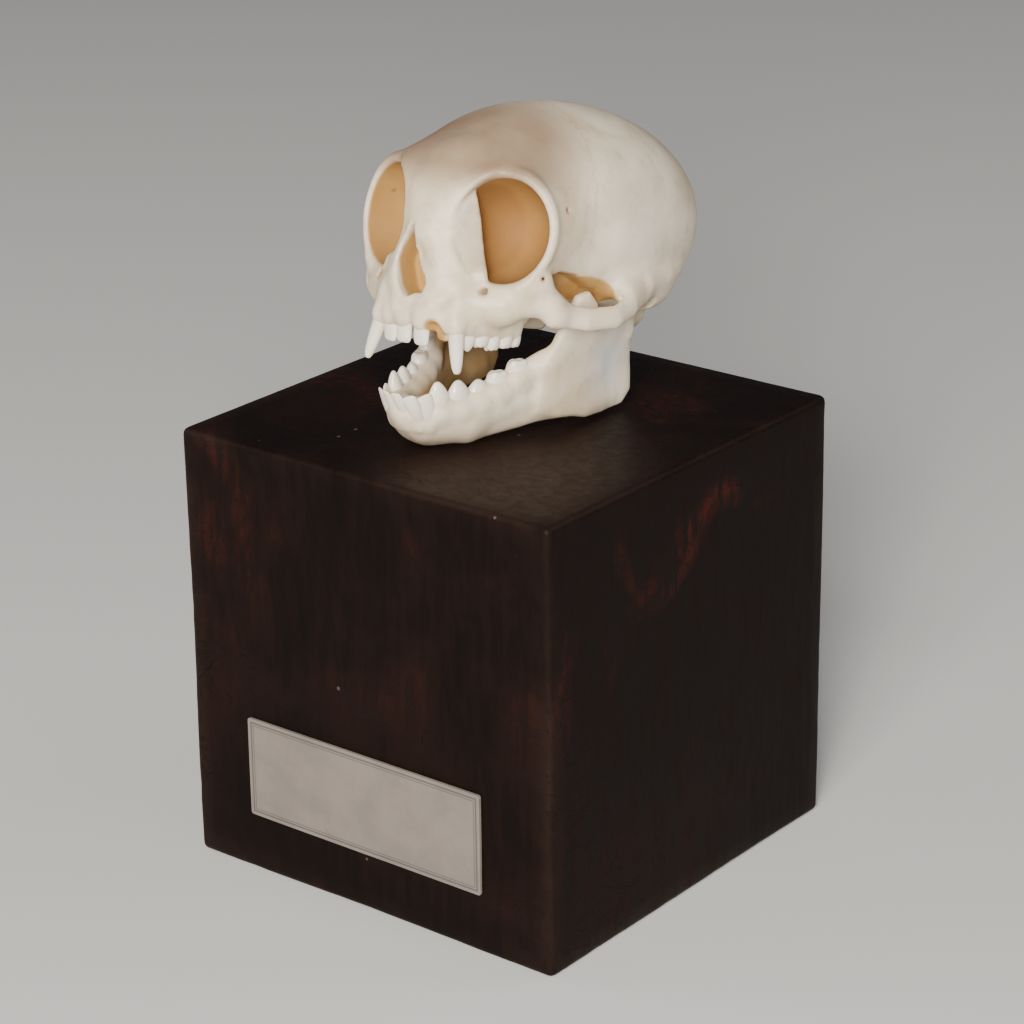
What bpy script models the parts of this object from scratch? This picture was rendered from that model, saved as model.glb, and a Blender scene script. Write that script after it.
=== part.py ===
"""Marmoset skull on its own wooden block, life size, in the pose of the photograph.

Lengths in the constants are millimetres. The row's origin is the middle of the block's
bottom face, -Y faces the label, +X is the skull's left and +Z is up. The cranium is shaped
in its own frame: x to its left, y back from the front of the upper jaw, z up from the
tooth row, and is then tipped back on the lower jaw as it rests in the photograph.
"""

import bmesh
import bpy
import numpy as np
from math import cos, pi, radians, sin
from mathutils import Matrix, Vector

MM = 0.001
GAP = 0.3
JAW_MARGIN = 0.12

BLOCK_SIDE = 49.6
BLOCK_HEIGHT = 50.0
BLOCK_EDGE = 0.8
EDGE_STEPS = 3
LABEL_WIDTH = 32.2
LABEL_HEIGHT = 11.5
LABEL_THICK = 0.5
LABEL_MIDDLE = (-0.4, 12.7)

CRANIUM_AT = (0.45, -17.66, 64.83)
CRANIUM_PITCH = -18.0
CRANIUM_ROLL = -2.5

BRAINCASE_AT = (0.0, 22.4, 12.8)
BRAINCASE_RADII = (13.1, 20.9, 12.2)
BRAINCASE_TILT = 3.3
BASE_LEVEL = 3.2
FOREHEAD_TILT = 33.4
FOREHEAD_OUT = 16.06

ORBIT_AT = (7.4, 4.86, 10.6)
ORBIT_TURN = 21.5
ORBIT_WIDE = 4.85
ORBIT_HIGH = 5.33
ORBIT_DEEP = 8.5
ORBIT_RIM = 0.15
PLATE_EDGE = -2.73
PLATE_LEAN = -0.26
PLATE_RISE = 1.1
PLATE_SLOPE = 1.25
NOSE_DEPTH = 4.6

CONDYLE_AT = (9.5, 8.4, 61.4)

CRANIUM_STEP = 0.42
MANDIBLE_STEP = 0.36
REMESH_VOXEL = 0.34
CRANIUM_FACES = 7400
MANDIBLE_FACES = 2900
TOOTH_SIDES = 8
UPPER_ROOT = 1.3
LOWER_ROOT = 1.2


def clear_scene():
    for thing in list(bpy.data.objects):
        bpy.data.objects.remove(thing, do_unlink=True)


def turned(pitch, roll):
    return np.array(Matrix.Rotation(radians(pitch), 3, "X") @ Matrix.Rotation(radians(roll), 3, "Y"))


CRANIUM_TURN = turned(CRANIUM_PITCH, CRANIUM_ROLL)
ORBIT_OUT = (sin(radians(ORBIT_TURN)), -cos(radians(ORBIT_TURN)), 0.0)
ORBIT_ACROSS = (cos(radians(ORBIT_TURN)), sin(radians(ORBIT_TURN)), 0.0)
ORBIT_FRAME = np.array([ORBIT_ACROSS, ORBIT_OUT, (0.0, 0.0, 1.0)]).T


def blend(a, b, soft):
    """Union of two distance fields with a fillet of about this size."""
    near = np.maximum(soft - np.abs(a - b), 0.0) / soft
    return np.minimum(a, b) - near * near * soft * 0.25


def carve(a, b, soft):
    """What is left of field a once b is cut out of it, with a rounded edge."""
    return -blend(-a, b, soft)


def ellipsoid(p, at, radii, turn=None):
    q = [p[i] - at[i] for i in range(3)]
    if turn is not None:
        q = [sum(turn[j][i] * q[j] for j in range(3)) for i in range(3)]
    k0 = np.sqrt(sum((q[i] / radii[i]) ** 2 for i in range(3)))
    k1 = np.sqrt(sum((q[i] / radii[i] ** 2) ** 2 for i in range(3))) + 1e-6
    return k0 * (k0 - 1.0) / k1


def limb(p, knots, squash=(1.0, 1.0, 1.0)):
    """A chain of tapering rods through knots (x, y, z, radius), thinned by squash on each axis."""
    best = None
    for a, b in zip(knots[:-1], knots[1:]):
        reach = [b[i] - a[i] for i in range(3)]
        long2 = sum(v * v for v in reach) + 1e-9
        t = sum((p[i] - a[i]) * reach[i] for i in range(3)) / long2
        t = np.clip(t, 0.0, 1.0)
        off = sum((squash[i] * (p[i] - a[i] - t * reach[i])) ** 2 for i in range(3))
        d = np.sqrt(off) - (a[3] + t * (b[3] - a[3]))
        best = d if best is None else np.minimum(best, d)
    return best / max(squash)


def plane_above(p, level_front, level_back, y_front, y_back):
    """Negative above a straight line drawn in the side view."""
    slope = (level_back - level_front) / (y_back - y_front)
    return (level_front + (p[1] - y_front) * slope - p[2]) / np.sqrt(1.0 + slope * slope)


def outline_2d(u, v, corners):
    """Signed distance to a closed polygon in a plane."""
    best = np.full(u.shape, 1e9, u.dtype)
    inside = np.zeros(u.shape, bool)
    for (au, av), (bu, bv) in zip(corners, corners[1:] + corners[:1]):
        eu, ev = bu - au, bv - av
        t = np.clip(((u - au) * eu + (v - av) * ev) / (eu * eu + ev * ev), 0.0, 1.0)
        best = np.minimum(best, (u - au - t * eu) ** 2 + (v - av - t * ev) ** 2)
        inside ^= ((av > v) != (bv > v)) & (u < (bu - au) * (v - av) / (bv - av + 1e-9) + au)
    return np.where(inside, -1.0, 1.0) * np.sqrt(best)


def step_up(value, low, high):
    """0 below low, 1 above high and smooth between; turned round where high is below low."""
    t = np.clip((value - low) / (high - low), 0.0, 1.0)
    return t * t * (3.0 - 2.0 * t)


def along(p, at, direction):
    return sum(direction[i] * (p[i] - at[i]) for i in range(3))


def spun(degrees, axis):
    return np.array(Matrix.Rotation(radians(degrees), 3, axis))


def skin(field, low, step):
    """The zero surface of a sampled field as quads, one point to each cell that it crosses."""
    size = field.shape
    rings, spots = [], []
    for axis in range(3):
        u, v = (axis + 1) % 3, (axis + 2) % 3
        lower = field.take(range(size[axis] - 1), axis)
        upper = field.take(range(1, size[axis]), axis)
        at = np.argwhere((lower < 0) != (upper < 0))
        fa = lower[tuple(at.T)]
        fb = upper[tuple(at.T)]
        spot = at.astype(float)
        spot[:, axis] += fa / (fa - fb)
        ring = []
        for du, dv in ((0, 0), (-1, 0), (-1, -1), (0, -1)):
            near = at.copy()
            near[:, u] += du
            near[:, v] += dv
            ring.append((near[:, 0] * size[1] + near[:, 1]) * size[2] + near[:, 2])
        ring = np.stack(ring, 1)
        flip = fa >= 0
        ring[flip] = ring[flip][:, ::-1]
        rings.append(ring)
        spots.append(np.repeat(spot, 4, axis=0))
    rings = np.concatenate(rings)
    spots = np.concatenate(spots)
    _, index = np.unique(rings.ravel(), return_inverse=True)
    index = index.reshape(-1)
    count = np.bincount(index)
    points = np.stack([np.bincount(index, spots[:, i]) / count for i in range(3)], 1)
    return points * step + np.array(low), index.reshape(-1, 4)


def grid(low, high, step):
    """Sample points of the left half, mirrored later, from the middle plane out."""
    counts = [int(round((high[i] - low[i]) / step)) + 1 for i in range(3)]
    axes = [np.linspace(low[i], low[i] + (counts[i] - 1) * step, counts[i]) for i in range(3)]
    return [a.astype(np.float32) for a in np.meshgrid(*axes, indexing="ij")]


def mirrored(half):
    return np.concatenate([half[:0:-1], half], axis=0)


def mandible_half(p):
    """Left half of the lower jaw, in the row's frame, as it lies on the block."""
    lower_edge = limb(p, [
        (0.0, -13.7, 51.6, 1.0), (3.0, -10.7, 51.4, 1.05), (5.6, -5.6, 51.9, 1.0),
        (7.4, -1.4, 52.3, 0.95), (8.2, 2.0, 51.8, 0.7), (8.5, 6.0, 52.0, 0.3)])
    middle = limb(p, [
        (0.0, -16.0, 53.7, 1.1), (2.5, -13.4, 53.3, 1.15), (4.3, -9.8, 53.6, 1.2),
        (6.0, -5.6, 54.2, 1.15), (7.4, -1.2, 54.9, 0.8), (8.4, 4.0, 55.6, 0.3)])
    tooth_edge = limb(p, [
        (0.0, -17.5, 55.4, 0.9), (1.5, -16.5, 55.3, 1.0), (2.7, -14.4, 55.2, 1.1),
        (3.7, -11.6, 55.2, 1.15), (4.9, -8.6, 55.8, 1.2), (6.0, -5.8, 56.8, 1.2),
        (7.0, -3.2, 57.9, 1.0)])
    body = blend(blend(lower_edge, middle, 3.0), tooth_edge, 3.0) + 0.12
    symphysis = limb(p, [(0.0, -16.5, 54.6, 0.9), (0.0, -14.8, 52.8, 1.0), (0.0, -13.4, 51.8, 0.9)])
    body = blend(body, symphysis, 2.4)
    profile = [
        (-4.4, 53.0), (-2.0, 51.9), (0.6, 51.3), (2.4, 50.4), (5.0, 50.1), (8.4, 50.6),
        (9.7, 52.0), (9.7, 54.2), (9.3, 57.0), (9.0, 59.6), (9.2, 61.4), (7.6, 61.6),
        (5.8, 60.3), (4.0, 61.0), (2.8, 63.6), (1.4, 65.2), (-0.2, 65.0), (-1.6, 62.6),
        (-2.7, 60.2), (-4.2, 58.0)]
    edge = outline_2d(p[1], p[2], profile) + 0.15
    ahead = 1.5 - p[1]
    mid_x = 8.8 + 0.12 * (p[2] - 52.0) - 0.14 * (ahead + np.sqrt(ahead * ahead + 9.0))
    mid_x = mid_x + 0.035 * np.maximum(p[1] - 6.0, 0.0) * np.maximum(55.0 - p[2], 0.0)
    half_thick = 0.55 + 0.12 * np.clip(-edge, 0.0, 1.0) - 0.06 * np.clip(-edge - 1.5, 0.0, 2.5)
    ramus = -blend(-edge, -(np.abs(p[0] - mid_x) - half_thick), 0.5)
    shape = blend(body, ramus, 1.8)
    condyle = ellipsoid(p, CONDYLE_AT, (1.75, 0.8, 0.75))
    neck = limb(p, [(9.3, 8.6, 58.6, 0.7), (9.5, 8.5, 61.2, 0.75)], (0.8, 1.0, 1.0))
    shape = blend(shape, blend(condyle, neck, 0.6), 0.8)
    rest = BLOCK_HEIGHT + GAP - p[2]
    return -blend(-shape, -rest, 0.15)


def eye_cup(p):
    """The hollow of the eye socket: a deep bowl behind the rim, straight in front of it."""
    ahead = np.maximum(along(p, ORBIT_AT, ORBIT_OUT), 0.0)
    held = [p[i] - ORBIT_OUT[i] * ahead for i in range(3)]
    return ellipsoid(held, ORBIT_AT, (ORBIT_WIDE, ORBIT_DEEP, ORBIT_HIGH), ORBIT_FRAME), held


def nose_side_plate(p):
    """The sloping bone between the nose side of the socket's edge and its inner crest."""
    rise = p[2] - ORBIT_AT[2]
    inward = along(p, ORBIT_AT, ORBIT_ACROSS)
    slope = PLATE_SLOPE * (inward + ORBIT_WIDE) * step_up(rise, -5.2, -1.5)
    level = (along(p, ORBIT_AT, ORBIT_OUT) + slope - PLATE_RISE) / 1.6
    return np.maximum(inward - PLATE_EDGE - PLATE_LEAN * rise, level)


def braincase_and_sockets(p):
    shape = ellipsoid(p, BRAINCASE_AT, BRAINCASE_RADII, spun(BRAINCASE_TILT, "X"))
    shape = -blend(-shape, -plane_above(p, BASE_LEVEL, BASE_LEVEL + 0.2, 10.0, 36.0), 2.5)
    shape = -blend(-shape, -plane_above(p, 4.4, 11.2, 31.5, 41.5), 1.6)
    tilt = radians(FOREHEAD_TILT)
    forehead = along(p, BRAINCASE_AT, (0.0, -sin(tilt), cos(tilt))) - FOREHEAD_OUT
    shape = -blend(-shape, -forehead, 3.0)
    shape = carve(shape, ellipsoid(p, (16.4, 13.8, 11.2), (4.0, 3.8, 6.2)), 2.6)
    forward = along(p, ORBIT_AT, ORBIT_OUT)
    bulb_at = [ORBIT_AT[i] - 2.6 * ORBIT_OUT[i] for i in range(3)]
    bulb = ellipsoid(p, bulb_at, (ORBIT_WIDE + 0.75, 6.6, ORBIT_HIGH + 0.75), ORBIT_FRAME)
    u = along(p, ORBIT_AT, ORBIT_ACROSS) / (ORBIT_WIDE + 0.4)
    v = (p[2] - ORBIT_AT[2]) / (ORBIT_HIGH + 0.4)
    shape = blend(shape, -blend(-bulb, -(forward - 0.1), 0.8), 4.0)
    shape = carve(shape, ellipsoid(p, (12.0, 14.2, 4.4), (3.4, 5.0, 2.9)), 0.5)
    off = (np.sqrt(u * u + v * v) - 1.0) * (ORBIT_WIDE + ORBIT_HIGH + 0.8) * 0.5
    thick = ORBIT_RIM - 1.6 * step_up(u + 0.2 * v, 0.6, -0.1)
    return blend(shape, np.sqrt(off * off + forward ** 2) - thick, 2.0)


def with_face(shape, p):
    nose = limb(p, [
        (0.0, 1.5, 9.3, 0.9), (0.0, 2.8, 11.0, 1.5), (0.0, 4.4, 13.6, 1.9), (0.0, 6.1, 16.2, 2.4)])
    shape = blend(shape, nose, 2.6)
    muzzle = ellipsoid(p, (0.0, 7.0, 4.2), (5.5, 6.2, 4.2))
    shape = blend(shape, muzzle, 1.6)
    nose_wall = limb(p, [
        (1.6, 1.9, 1.4, 1.1), (2.6, 2.2, 4.6, 1.05), (2.0, 2.2, 7.4, 1.0), (0.9, 1.9, 9.2, 0.8)])
    shape = blend(shape, nose_wall, 1.2)
    bridge = limb(p, [(1.5, 2.9, 7.8, 1.2), (1.3, 3.6, 10.5, 1.25), (1.3, 4.8, 14.0, 1.35)])
    shape = blend(shape, bridge, 1.2)
    beside_nose = limb(p, [(3.9, 3.4, 2.2, 1.4), (3.6, 3.6, 5.6, 1.3), (2.9, 3.5, 8.8, 0.9)])
    shape = blend(shape, beside_nose, 1.4)
    alveolar = limb(p, [
        (0.0, 2.4, 1.3, 1.2), (2.0, 2.4, 1.3, 1.2), (4.0, 2.9, 1.3, 1.25), (4.9, 4.1, 1.3, 1.3),
        (5.5, 6.2, 1.5, 1.35), (5.9, 8.4, 1.6, 1.4), (6.0, 10.4, 1.8, 1.4), (5.9, 11.8, 2.2, 1.2)])
    shape = blend(shape, alveolar, 1.0)
    root_ridge = limb(p, [(4.9, 2.8, 0.4, 0.9), (4.6, 3.0, 3.0, 0.85), (4.2, 3.3, 5.2, 0.5)])
    shape = blend(shape, root_ridge, 0.6)
    cheek = limb(p, [(6.0, 6.2, 3.6, 1.9), (8.6, 7.6, 3.8, 1.8), (10.8, 9.6, 3.9, 1.5)])
    shape = blend(shape, cheek, 1.4)
    under_socket = limb(p, [(5.3, 4.7, 3.0, 1.6), (7.6, 6.4, 2.9, 1.9)])
    shape = blend(shape, under_socket, 1.4)
    cheek_bar = limb(p, [
        (9.4, 6.9, 4.9, 1.2), (11.0, 8.0, 6.0, 1.2), (11.2, 8.8, 4.6, 1.0), (11.7, 10.2, 2.9, 1.1)])
    shape = blend(shape, cheek_bar, 1.0)
    arch = limb(p, [
        (11.8, 10.6, 3.0, 1.25), (13.2, 14.0, 2.8, 1.25), (14.0, 17.6, 3.4, 1.25),
        (13.5, 20.5, 4.5, 1.2), (12.3, 23.6, 6.1, 1.1)], (1.9, 1.0, 1.0))
    return blend(shape, arch, 1.3)


def with_ear_and_base(shape, p):
    arch_root = limb(p, [
        (12.0, 20.8, 6.2, 0.6), (11.3, 24.0, 6.9, 1.0), (10.2, 27.0, 7.4, 1.4), (9.2, 30.5, 8.4, 1.6)])
    shape = blend(shape, arch_root, 2.8)
    crest = limb(p, [
        (12.4, 24.5, 7.2, 0.6), (11.7, 29.0, 8.4, 0.6), (10.0, 33.4, 9.4, 0.5),
        (6.0, 38.6, 10.8, 0.4), (0.0, 41.0, 11.6, 0.5)])
    shape = blend(shape, crest, 1.2)
    ear_bone = ellipsoid(p, (9.6, 28.0, 6.6), (1.9, 3.6, 2.1))
    shape = blend(shape, ear_bone, 2.0)
    base_bar = limb(p, [(0.0, 16.0, 3.6, 1.2), (0.0, 24.0, 3.4, 1.6), (0.0, 31.5, 4.2, 1.5)])
    shape = blend(shape, base_bar, 1.6)
    bulla = ellipsoid(p, (5.9, 28.6, 3.9), (2.5, 4.0, 2.5), spun(-14, "Z"))
    shape = blend(shape, bulla, 0.7)
    occipital_condyle = ellipsoid(p, (2.9, 36.2, 4.9), (1.1, 2.0, 1.2), spun(25, "Z"))
    shape = blend(shape, occipital_condyle, 0.5)
    wing = limb(p, [
        (3.4, 13.6, 2.4, 1.3), (3.6, 16.4, 1.8, 1.2), (3.5, 19.2, 1.7, 1.0),
        (3.3, 20.0, 3.6, 1.0)], (2.4, 1.0, 1.0))
    shape = blend(shape, wing, 0.5)
    wing_root = limb(p, [(3.4, 14.0, 3.8, 1.2), (3.3, 19.6, 4.2, 1.2)])
    return blend(shape, wing_root, 1.0)


def cranium_half(p):
    """Left half of the bone of the cranium, in its own frame, before the lower jaw's clearance."""
    shape = with_ear_and_base(with_face(braincase_and_sockets(p), p), p)
    cup, held = eye_cup(p)
    trim_at = [ORBIT_AT[i] + 1.6 * ORBIT_ACROSS[i] for i in range(2)] + [ORBIT_AT[2] + 0.9]
    around = ellipsoid(held, trim_at, (ORBIT_WIDE - 0.1, 3.0, ORBIT_HIGH + 0.3), ORBIT_FRAME)
    forward = along(p, ORBIT_AT, ORBIT_OUT)
    shape = carve(shape, -blend(-around, forward - 0.3, 0.4), 1.0)
    shape = carve(shape, np.maximum(cup - 0.05, -nose_side_plate(p)), 0.4)
    flat = [p[0], p[1] * 0.0, p[2]]
    pear = limb(flat, [
        (0.0, 0.0, 3.1, 0.5), (0.0, 0.0, 4.6, 1.7), (0.0, 0.0, 6.4, 1.35), (0.0, 0.0, 8.7, 0.6)])
    shape = carve(shape, np.maximum(pear, p[1] - NOSE_DEPTH), 0.3)
    palate = ellipsoid(p, (0.0, 8.0, -0.6), (4.5, 6.6, 2.2))
    shape = carve(shape, palate, 0.8)
    choana = limb(p, [
        (0.0, 13.2, 2.9, 1.5), (0.0, 15.4, 3.0, 1.7), (0.0, 19.0, 2.0, 1.9)], (0.72, 1.0, 1.0))
    shape = carve(shape, choana, 0.5)
    foramen = ellipsoid(p, (0.0, 38.2, 5.8), (2.5, 4.4, 2.3), spun(-40, "X"))
    shape = carve(shape, foramen, 0.4)
    ear_hole = limb(p, [(12.6, 26.6, 4.8, 0.95), (8.6, 28.2, 5.2, 0.8)])
    return carve(shape, ear_hole, 0.3)


def cranium_to_row(points):
    return points @ CRANIUM_TURN.T + np.array(CRANIUM_AT)


def as_it_lies(points):
    return points


def half_at(field_of, p):
    return field_of([np.abs(p[0]), p[1], p[2]])


def bone_mesh(name, points, quads, faces):
    """A mesh object from quads, evened out by a voxel remesh and thinned to its budget."""
    mesh = bpy.data.meshes.new(name)
    mesh.from_pydata([tuple(v) for v in points * MM], [], quads.tolist())
    thing = bpy.data.objects.new(name, mesh)
    PARTS.objects.link(thing)
    even = thing.modifiers.new("even", "REMESH")
    even.mode = "VOXEL"
    even.voxel_size = REMESH_VOXEL * MM
    bake(thing)
    many = sum(len(f.vertices) - 2 for f in thing.data.polygons)
    thin = thing.modifiers.new("thin", "DECIMATE")
    thin.ratio = faces / many
    bake(thing)
    return thing


def bake(thing):
    """Applies a thing's modifiers."""
    graph = bpy.context.evaluated_depsgraph_get()
    fresh = bpy.data.meshes.new_from_object(thing.evaluated_get(graph))
    old = thing.data
    thing.modifiers.clear()
    thing.data = fresh
    bpy.data.meshes.remove(old)


def largest_surface(thing):
    """Keeps only the biggest closed surface of a mesh."""
    bm = bmesh.new()
    bm.from_mesh(thing.data)
    left = set(bm.verts)
    groups = []
    while left:
        seed = left.pop()
        group = {seed}
        edge = [seed]
        while edge:
            v = edge.pop()
            for e in v.link_edges:
                w = e.other_vert(v)
                if w in left:
                    left.discard(w)
                    group.add(w)
                    edge.append(w)
        groups.append(group)
    groups.sort(key=len, reverse=True)
    for group in groups[1:]:
        bmesh.ops.delete(bm, geom=list(group), context="VERTS")
    bm.to_mesh(thing.data)
    bm.free()


def tooth(name, base, tip, wide, deep, root, lean, kind, to_row):
    """One tooth as a lofted peg from its sunken root to its edge or point.

    base and tip are the middle of the neck and of the biting end, wide runs along the tooth
    row and deep across it, and lean is the direction of the row at this tooth, in degrees.
    """
    base = Vector(base)
    tip = Vector(tip)
    axis = (tip - base).normalized()
    row_way = Vector((cos(radians(lean)), sin(radians(lean)), 0.0))
    row_way = (row_way - axis * row_way.dot(axis)).normalized()
    cross = axis.cross(row_way)
    height = (tip - base).length
    shapes = {
        "canine": ((0.0, 1.0, 1.0), (0.35, 0.95, 0.95), (0.8, 0.7, 0.7), (1.0, 0.36, 0.34)),
        "incisor": ((0.0, 0.85, 1.0), (0.45, 1.0, 0.85), (0.8, 1.0, 0.55), (1.0, 0.82, 0.28)),
        "premolar": ((0.0, 0.85, 0.9), (0.45, 1.0, 1.0), (0.75, 0.7, 0.72), (1.0, 0.25, 0.3)),
        "molar": ((0.0, 0.85, 0.9), (0.4, 1.0, 1.0), (0.75, 0.92, 0.9), (1.0, 0.6, 0.55)),
    }
    rows = [(-root, 0.6, 0.6)] + [(t * height, w, d) for t, w, d in shapes[kind]]
    bm = bmesh.new()
    rings = []
    for h, w, d in rows:
        ring = []
        for i in range(TOOTH_SIDES):
            a = 2 * pi * (i + 0.5) / TOOTH_SIDES
            at = base + axis * h + row_way * (cos(a) * wide * w / 2) + cross * (sin(a) * deep * d / 2)
            ring.append(bm.verts.new(Vector(to_row(np.array(at))) * MM))
        rings.append(ring)
    for a, b in zip(rings[:-1], rings[1:]):
        for i in range(TOOTH_SIDES):
            j = (i + 1) % TOOTH_SIDES
            bm.faces.new((a[i], a[j], b[j], b[i]))
    bm.faces.new(rings[0][::-1])
    bm.faces.new(rings[-1])
    bmesh.ops.recalc_face_normals(bm, faces=bm.faces)
    bmesh.ops.triangulate(bm, faces=bm.faces)
    mesh = bpy.data.meshes.new(name)
    bm.to_mesh(mesh)
    bm.free()
    return bpy.data.objects.new(name, mesh)


def fuse(body, pieces):
    """One union of a bone with its teeth."""
    group = bpy.data.collections.new(body.name + "_teeth")
    bpy.context.scene.collection.children.link(group)
    for piece in pieces:
        group.objects.link(piece)
    join = body.modifiers.new("teeth", "BOOLEAN")
    join.operation = "UNION"
    join.operand_type = "COLLECTION"
    join.collection = group
    join.solver = "EXACT"
    bake(body)
    for piece in pieces:
        bpy.data.objects.remove(piece, do_unlink=True)
    bpy.data.collections.remove(group)
    largest_surface(body)


# Upper teeth of the left side: x, y at the neck, reach below the gum, width along the row,
# depth across it, outward lean of the tip, backward lean of the tip, direction of the row.
UPPER = {
    "incisor_1": ("incisor", 1.05, 2.0, 2.7, 1.9, 1.4, 0.0, 0.3, 0),
    "incisor_2": ("incisor", 3.05, 2.3, 2.5, 1.7, 1.3, 0.1, 0.3, 12),
    "canine": ("canine", 4.8, 2.9, 5.0, 1.8, 1.7, 0.65, 0.5, 45),
    "premolar_2": ("premolar", 5.1, 4.7, 2.4, 1.5, 1.7, 0.15, 0.1, 72),
    "premolar_3": ("premolar", 5.6, 6.2, 1.9, 1.5, 2.1, 0.1, 0.1, 76),
    "premolar_4": ("premolar", 5.9, 7.7, 1.9, 1.5, 2.3, 0.1, 0.1, 80),
    "molar_1": ("molar", 6.1, 9.3, 1.7, 1.9, 2.5, 0.1, 0.1, 86),
    "molar_2": ("molar", 6.1, 10.9, 1.5, 1.4, 2.0, 0.1, 0.1, 92),
}
UPPER_NECK = 0.5
MISSING = {"left_upper_incisor_2"}
FLARED = {"right_upper_canine": (1.35, 0.1)}

# Lower teeth: kind, x, y and z of the tip, crown height, width, depth, forward lean, direction.
LOWER = {
    "incisor_1": ("incisor", 0.6, -19.2, 57.5, 2.8, 1.1, 1.2, 1.6, 15),
    "incisor_2": ("incisor", 1.7, -18.5, 57.1, 2.7, 1.2, 1.2, 1.5, 38),
    "canine": ("incisor", 2.4, -17.2, 57.0, 2.5, 1.5, 1.3, 1.1, 62),
    "premolar_2": ("premolar", 2.9, -15.2, 58.1, 2.9, 1.9, 1.5, 0.3, 66),
    "premolar_3": ("premolar", 3.7, -12.8, 57.8, 2.6, 2.1, 1.6, 0.1, 70),
    "premolar_4": ("premolar", 4.5, -10.6, 57.6, 2.1, 1.9, 1.6, 0.0, 70),
    "molar_1": ("molar", 5.3, -8.3, 58.0, 1.8, 2.2, 1.7, 0.0, 68),
    "molar_2": ("molar", 6.2, -6.0, 58.9, 1.8, 2.2, 1.6, 0.0, 66),
}


def upper_teeth():
    pieces = []
    for side, sign in (("left", 1), ("right", -1)):
        for place, row in UPPER.items():
            kind, x, y, reach, wide, deep, outward, back, lean = row
            name = side + "_upper_" + place
            if name in MISSING:
                continue
            if name in FLARED:
                outward, back = FLARED[name]
            base = (sign * x, y, UPPER_NECK)
            tip = (sign * (x + outward), y + back, UPPER_NECK - reach)
            turn = lean * sign
            pieces.append(tooth(name, base, tip, wide, deep, UPPER_ROOT, turn, kind, cranium_to_row))
    return pieces


def lower_teeth():
    pieces = []
    for side, sign in (("left", 1), ("right", -1)):
        for place, row in LOWER.items():
            kind, x, y, z, tall, wide, deep, forward, lean = row
            base = (sign * x * 0.98, y + forward, z - tall)
            tip = (sign * x, y, z)
            name = side + "_lower_" + place
            turn = lean * sign
            pieces.append(tooth(name, base, tip, wide, deep, LOWER_ROOT, turn, kind, as_it_lies))
    return pieces


def make_cranium():
    low, high = (0.0, -2.5, -3.0), (16.4, 45.5, 26.8)
    half = cranium_half(grid(low, high, CRANIUM_STEP))
    whole = mirrored(half)
    count = half.shape[0] - 1
    start = (-count * CRANIUM_STEP, low[1], low[2])
    axes = [start[i] + CRANIUM_STEP * np.arange(whole.shape[i]) for i in range(3)]
    p = np.stack(np.meshgrid(*axes, indexing="ij"), -1).astype(np.float32)
    row = p @ CRANIUM_TURN.T.astype(np.float32) + np.array(CRANIUM_AT, np.float32)
    jaw = half_at(mandible_half, [row[..., 0], row[..., 1], row[..., 2]])
    whole = -blend(-whole, -(GAP + JAW_MARGIN - jaw), 0.3)
    points, quads = skin(whole, start, CRANIUM_STEP)
    bone = bone_mesh("cranium", cranium_to_row(points), quads, CRANIUM_FACES)
    largest_surface(bone)
    fuse(bone, upper_teeth())
    return bone


def make_mandible():
    low, high = (0.0, -22.0, 49.5), (12.6, 12.5, 66.5)
    half = mandible_half(grid(low, high, MANDIBLE_STEP))
    whole = mirrored(half)
    count = half.shape[0] - 1
    points, quads = skin(whole, (-count * MANDIBLE_STEP, low[1], low[2]), MANDIBLE_STEP)
    bone = bone_mesh("mandible", points, quads, MANDIBLE_FACES)
    largest_surface(bone)
    fuse(bone, lower_teeth())
    return bone


def box_mesh(name, size, at, bevel=0.0):
    bm = bmesh.new()
    bmesh.ops.create_cube(bm, size=1.0)
    bmesh.ops.scale(bm, verts=bm.verts, vec=Vector(size) * MM)
    bmesh.ops.translate(bm, verts=bm.verts, vec=Vector(at) * MM)
    if bevel:
        edges = list(bm.edges)
        bmesh.ops.bevel(bm, geom=edges, offset=bevel * MM, segments=EDGE_STEPS, profile=0.5, affect="EDGES")
    bmesh.ops.triangulate(bm, faces=bm.faces)
    mesh = bpy.data.meshes.new(name)
    bm.to_mesh(mesh)
    bm.free()
    thing = bpy.data.objects.new(name, mesh)
    PARTS.objects.link(thing)
    return thing


def material(name, colour, roughness):
    made = bpy.data.materials.new(name)
    made.use_nodes = True
    shader = made.node_tree.nodes["Principled BSDF"]
    shader.inputs["Base Color"].default_value = (*colour, 1.0)
    shader.inputs["Roughness"].default_value = roughness
    return made


clear_scene()
PARTS = bpy.data.collections.new("marmoset_skull")
bpy.context.scene.collection.children.link(PARTS)
block_size = (BLOCK_SIDE, BLOCK_SIDE, BLOCK_HEIGHT)
block = box_mesh("wood_block", block_size, (0, 0, BLOCK_HEIGHT / 2), BLOCK_EDGE)
label_at = (LABEL_MIDDLE[0], -BLOCK_SIDE / 2 - GAP - LABEL_THICK / 2, LABEL_MIDDLE[1])
label = box_mesh("label", (LABEL_WIDTH, LABEL_THICK, LABEL_HEIGHT), label_at)
mandible = make_mandible()
cranium = make_cranium()
block.data.materials.append(material("dark_wood", (0.022, 0.012, 0.009), 0.5))
label.data.materials.append(material("paper", (0.42, 0.38, 0.33), 0.85))
bone_stuff = material("bone", (0.72, 0.64, 0.52), 0.45)
for bone in (mandible, cranium):
    bone.data.materials.clear()
    bone.data.materials.append(bone_stuff)
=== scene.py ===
"""Marmoset skull with its mouth open, life size, on a dark wooden block with a bare label."""

import bmesh
import bpy
import numpy as np
from math import cos, radians, sin
from mathutils import Matrix, Vector, noise


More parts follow.
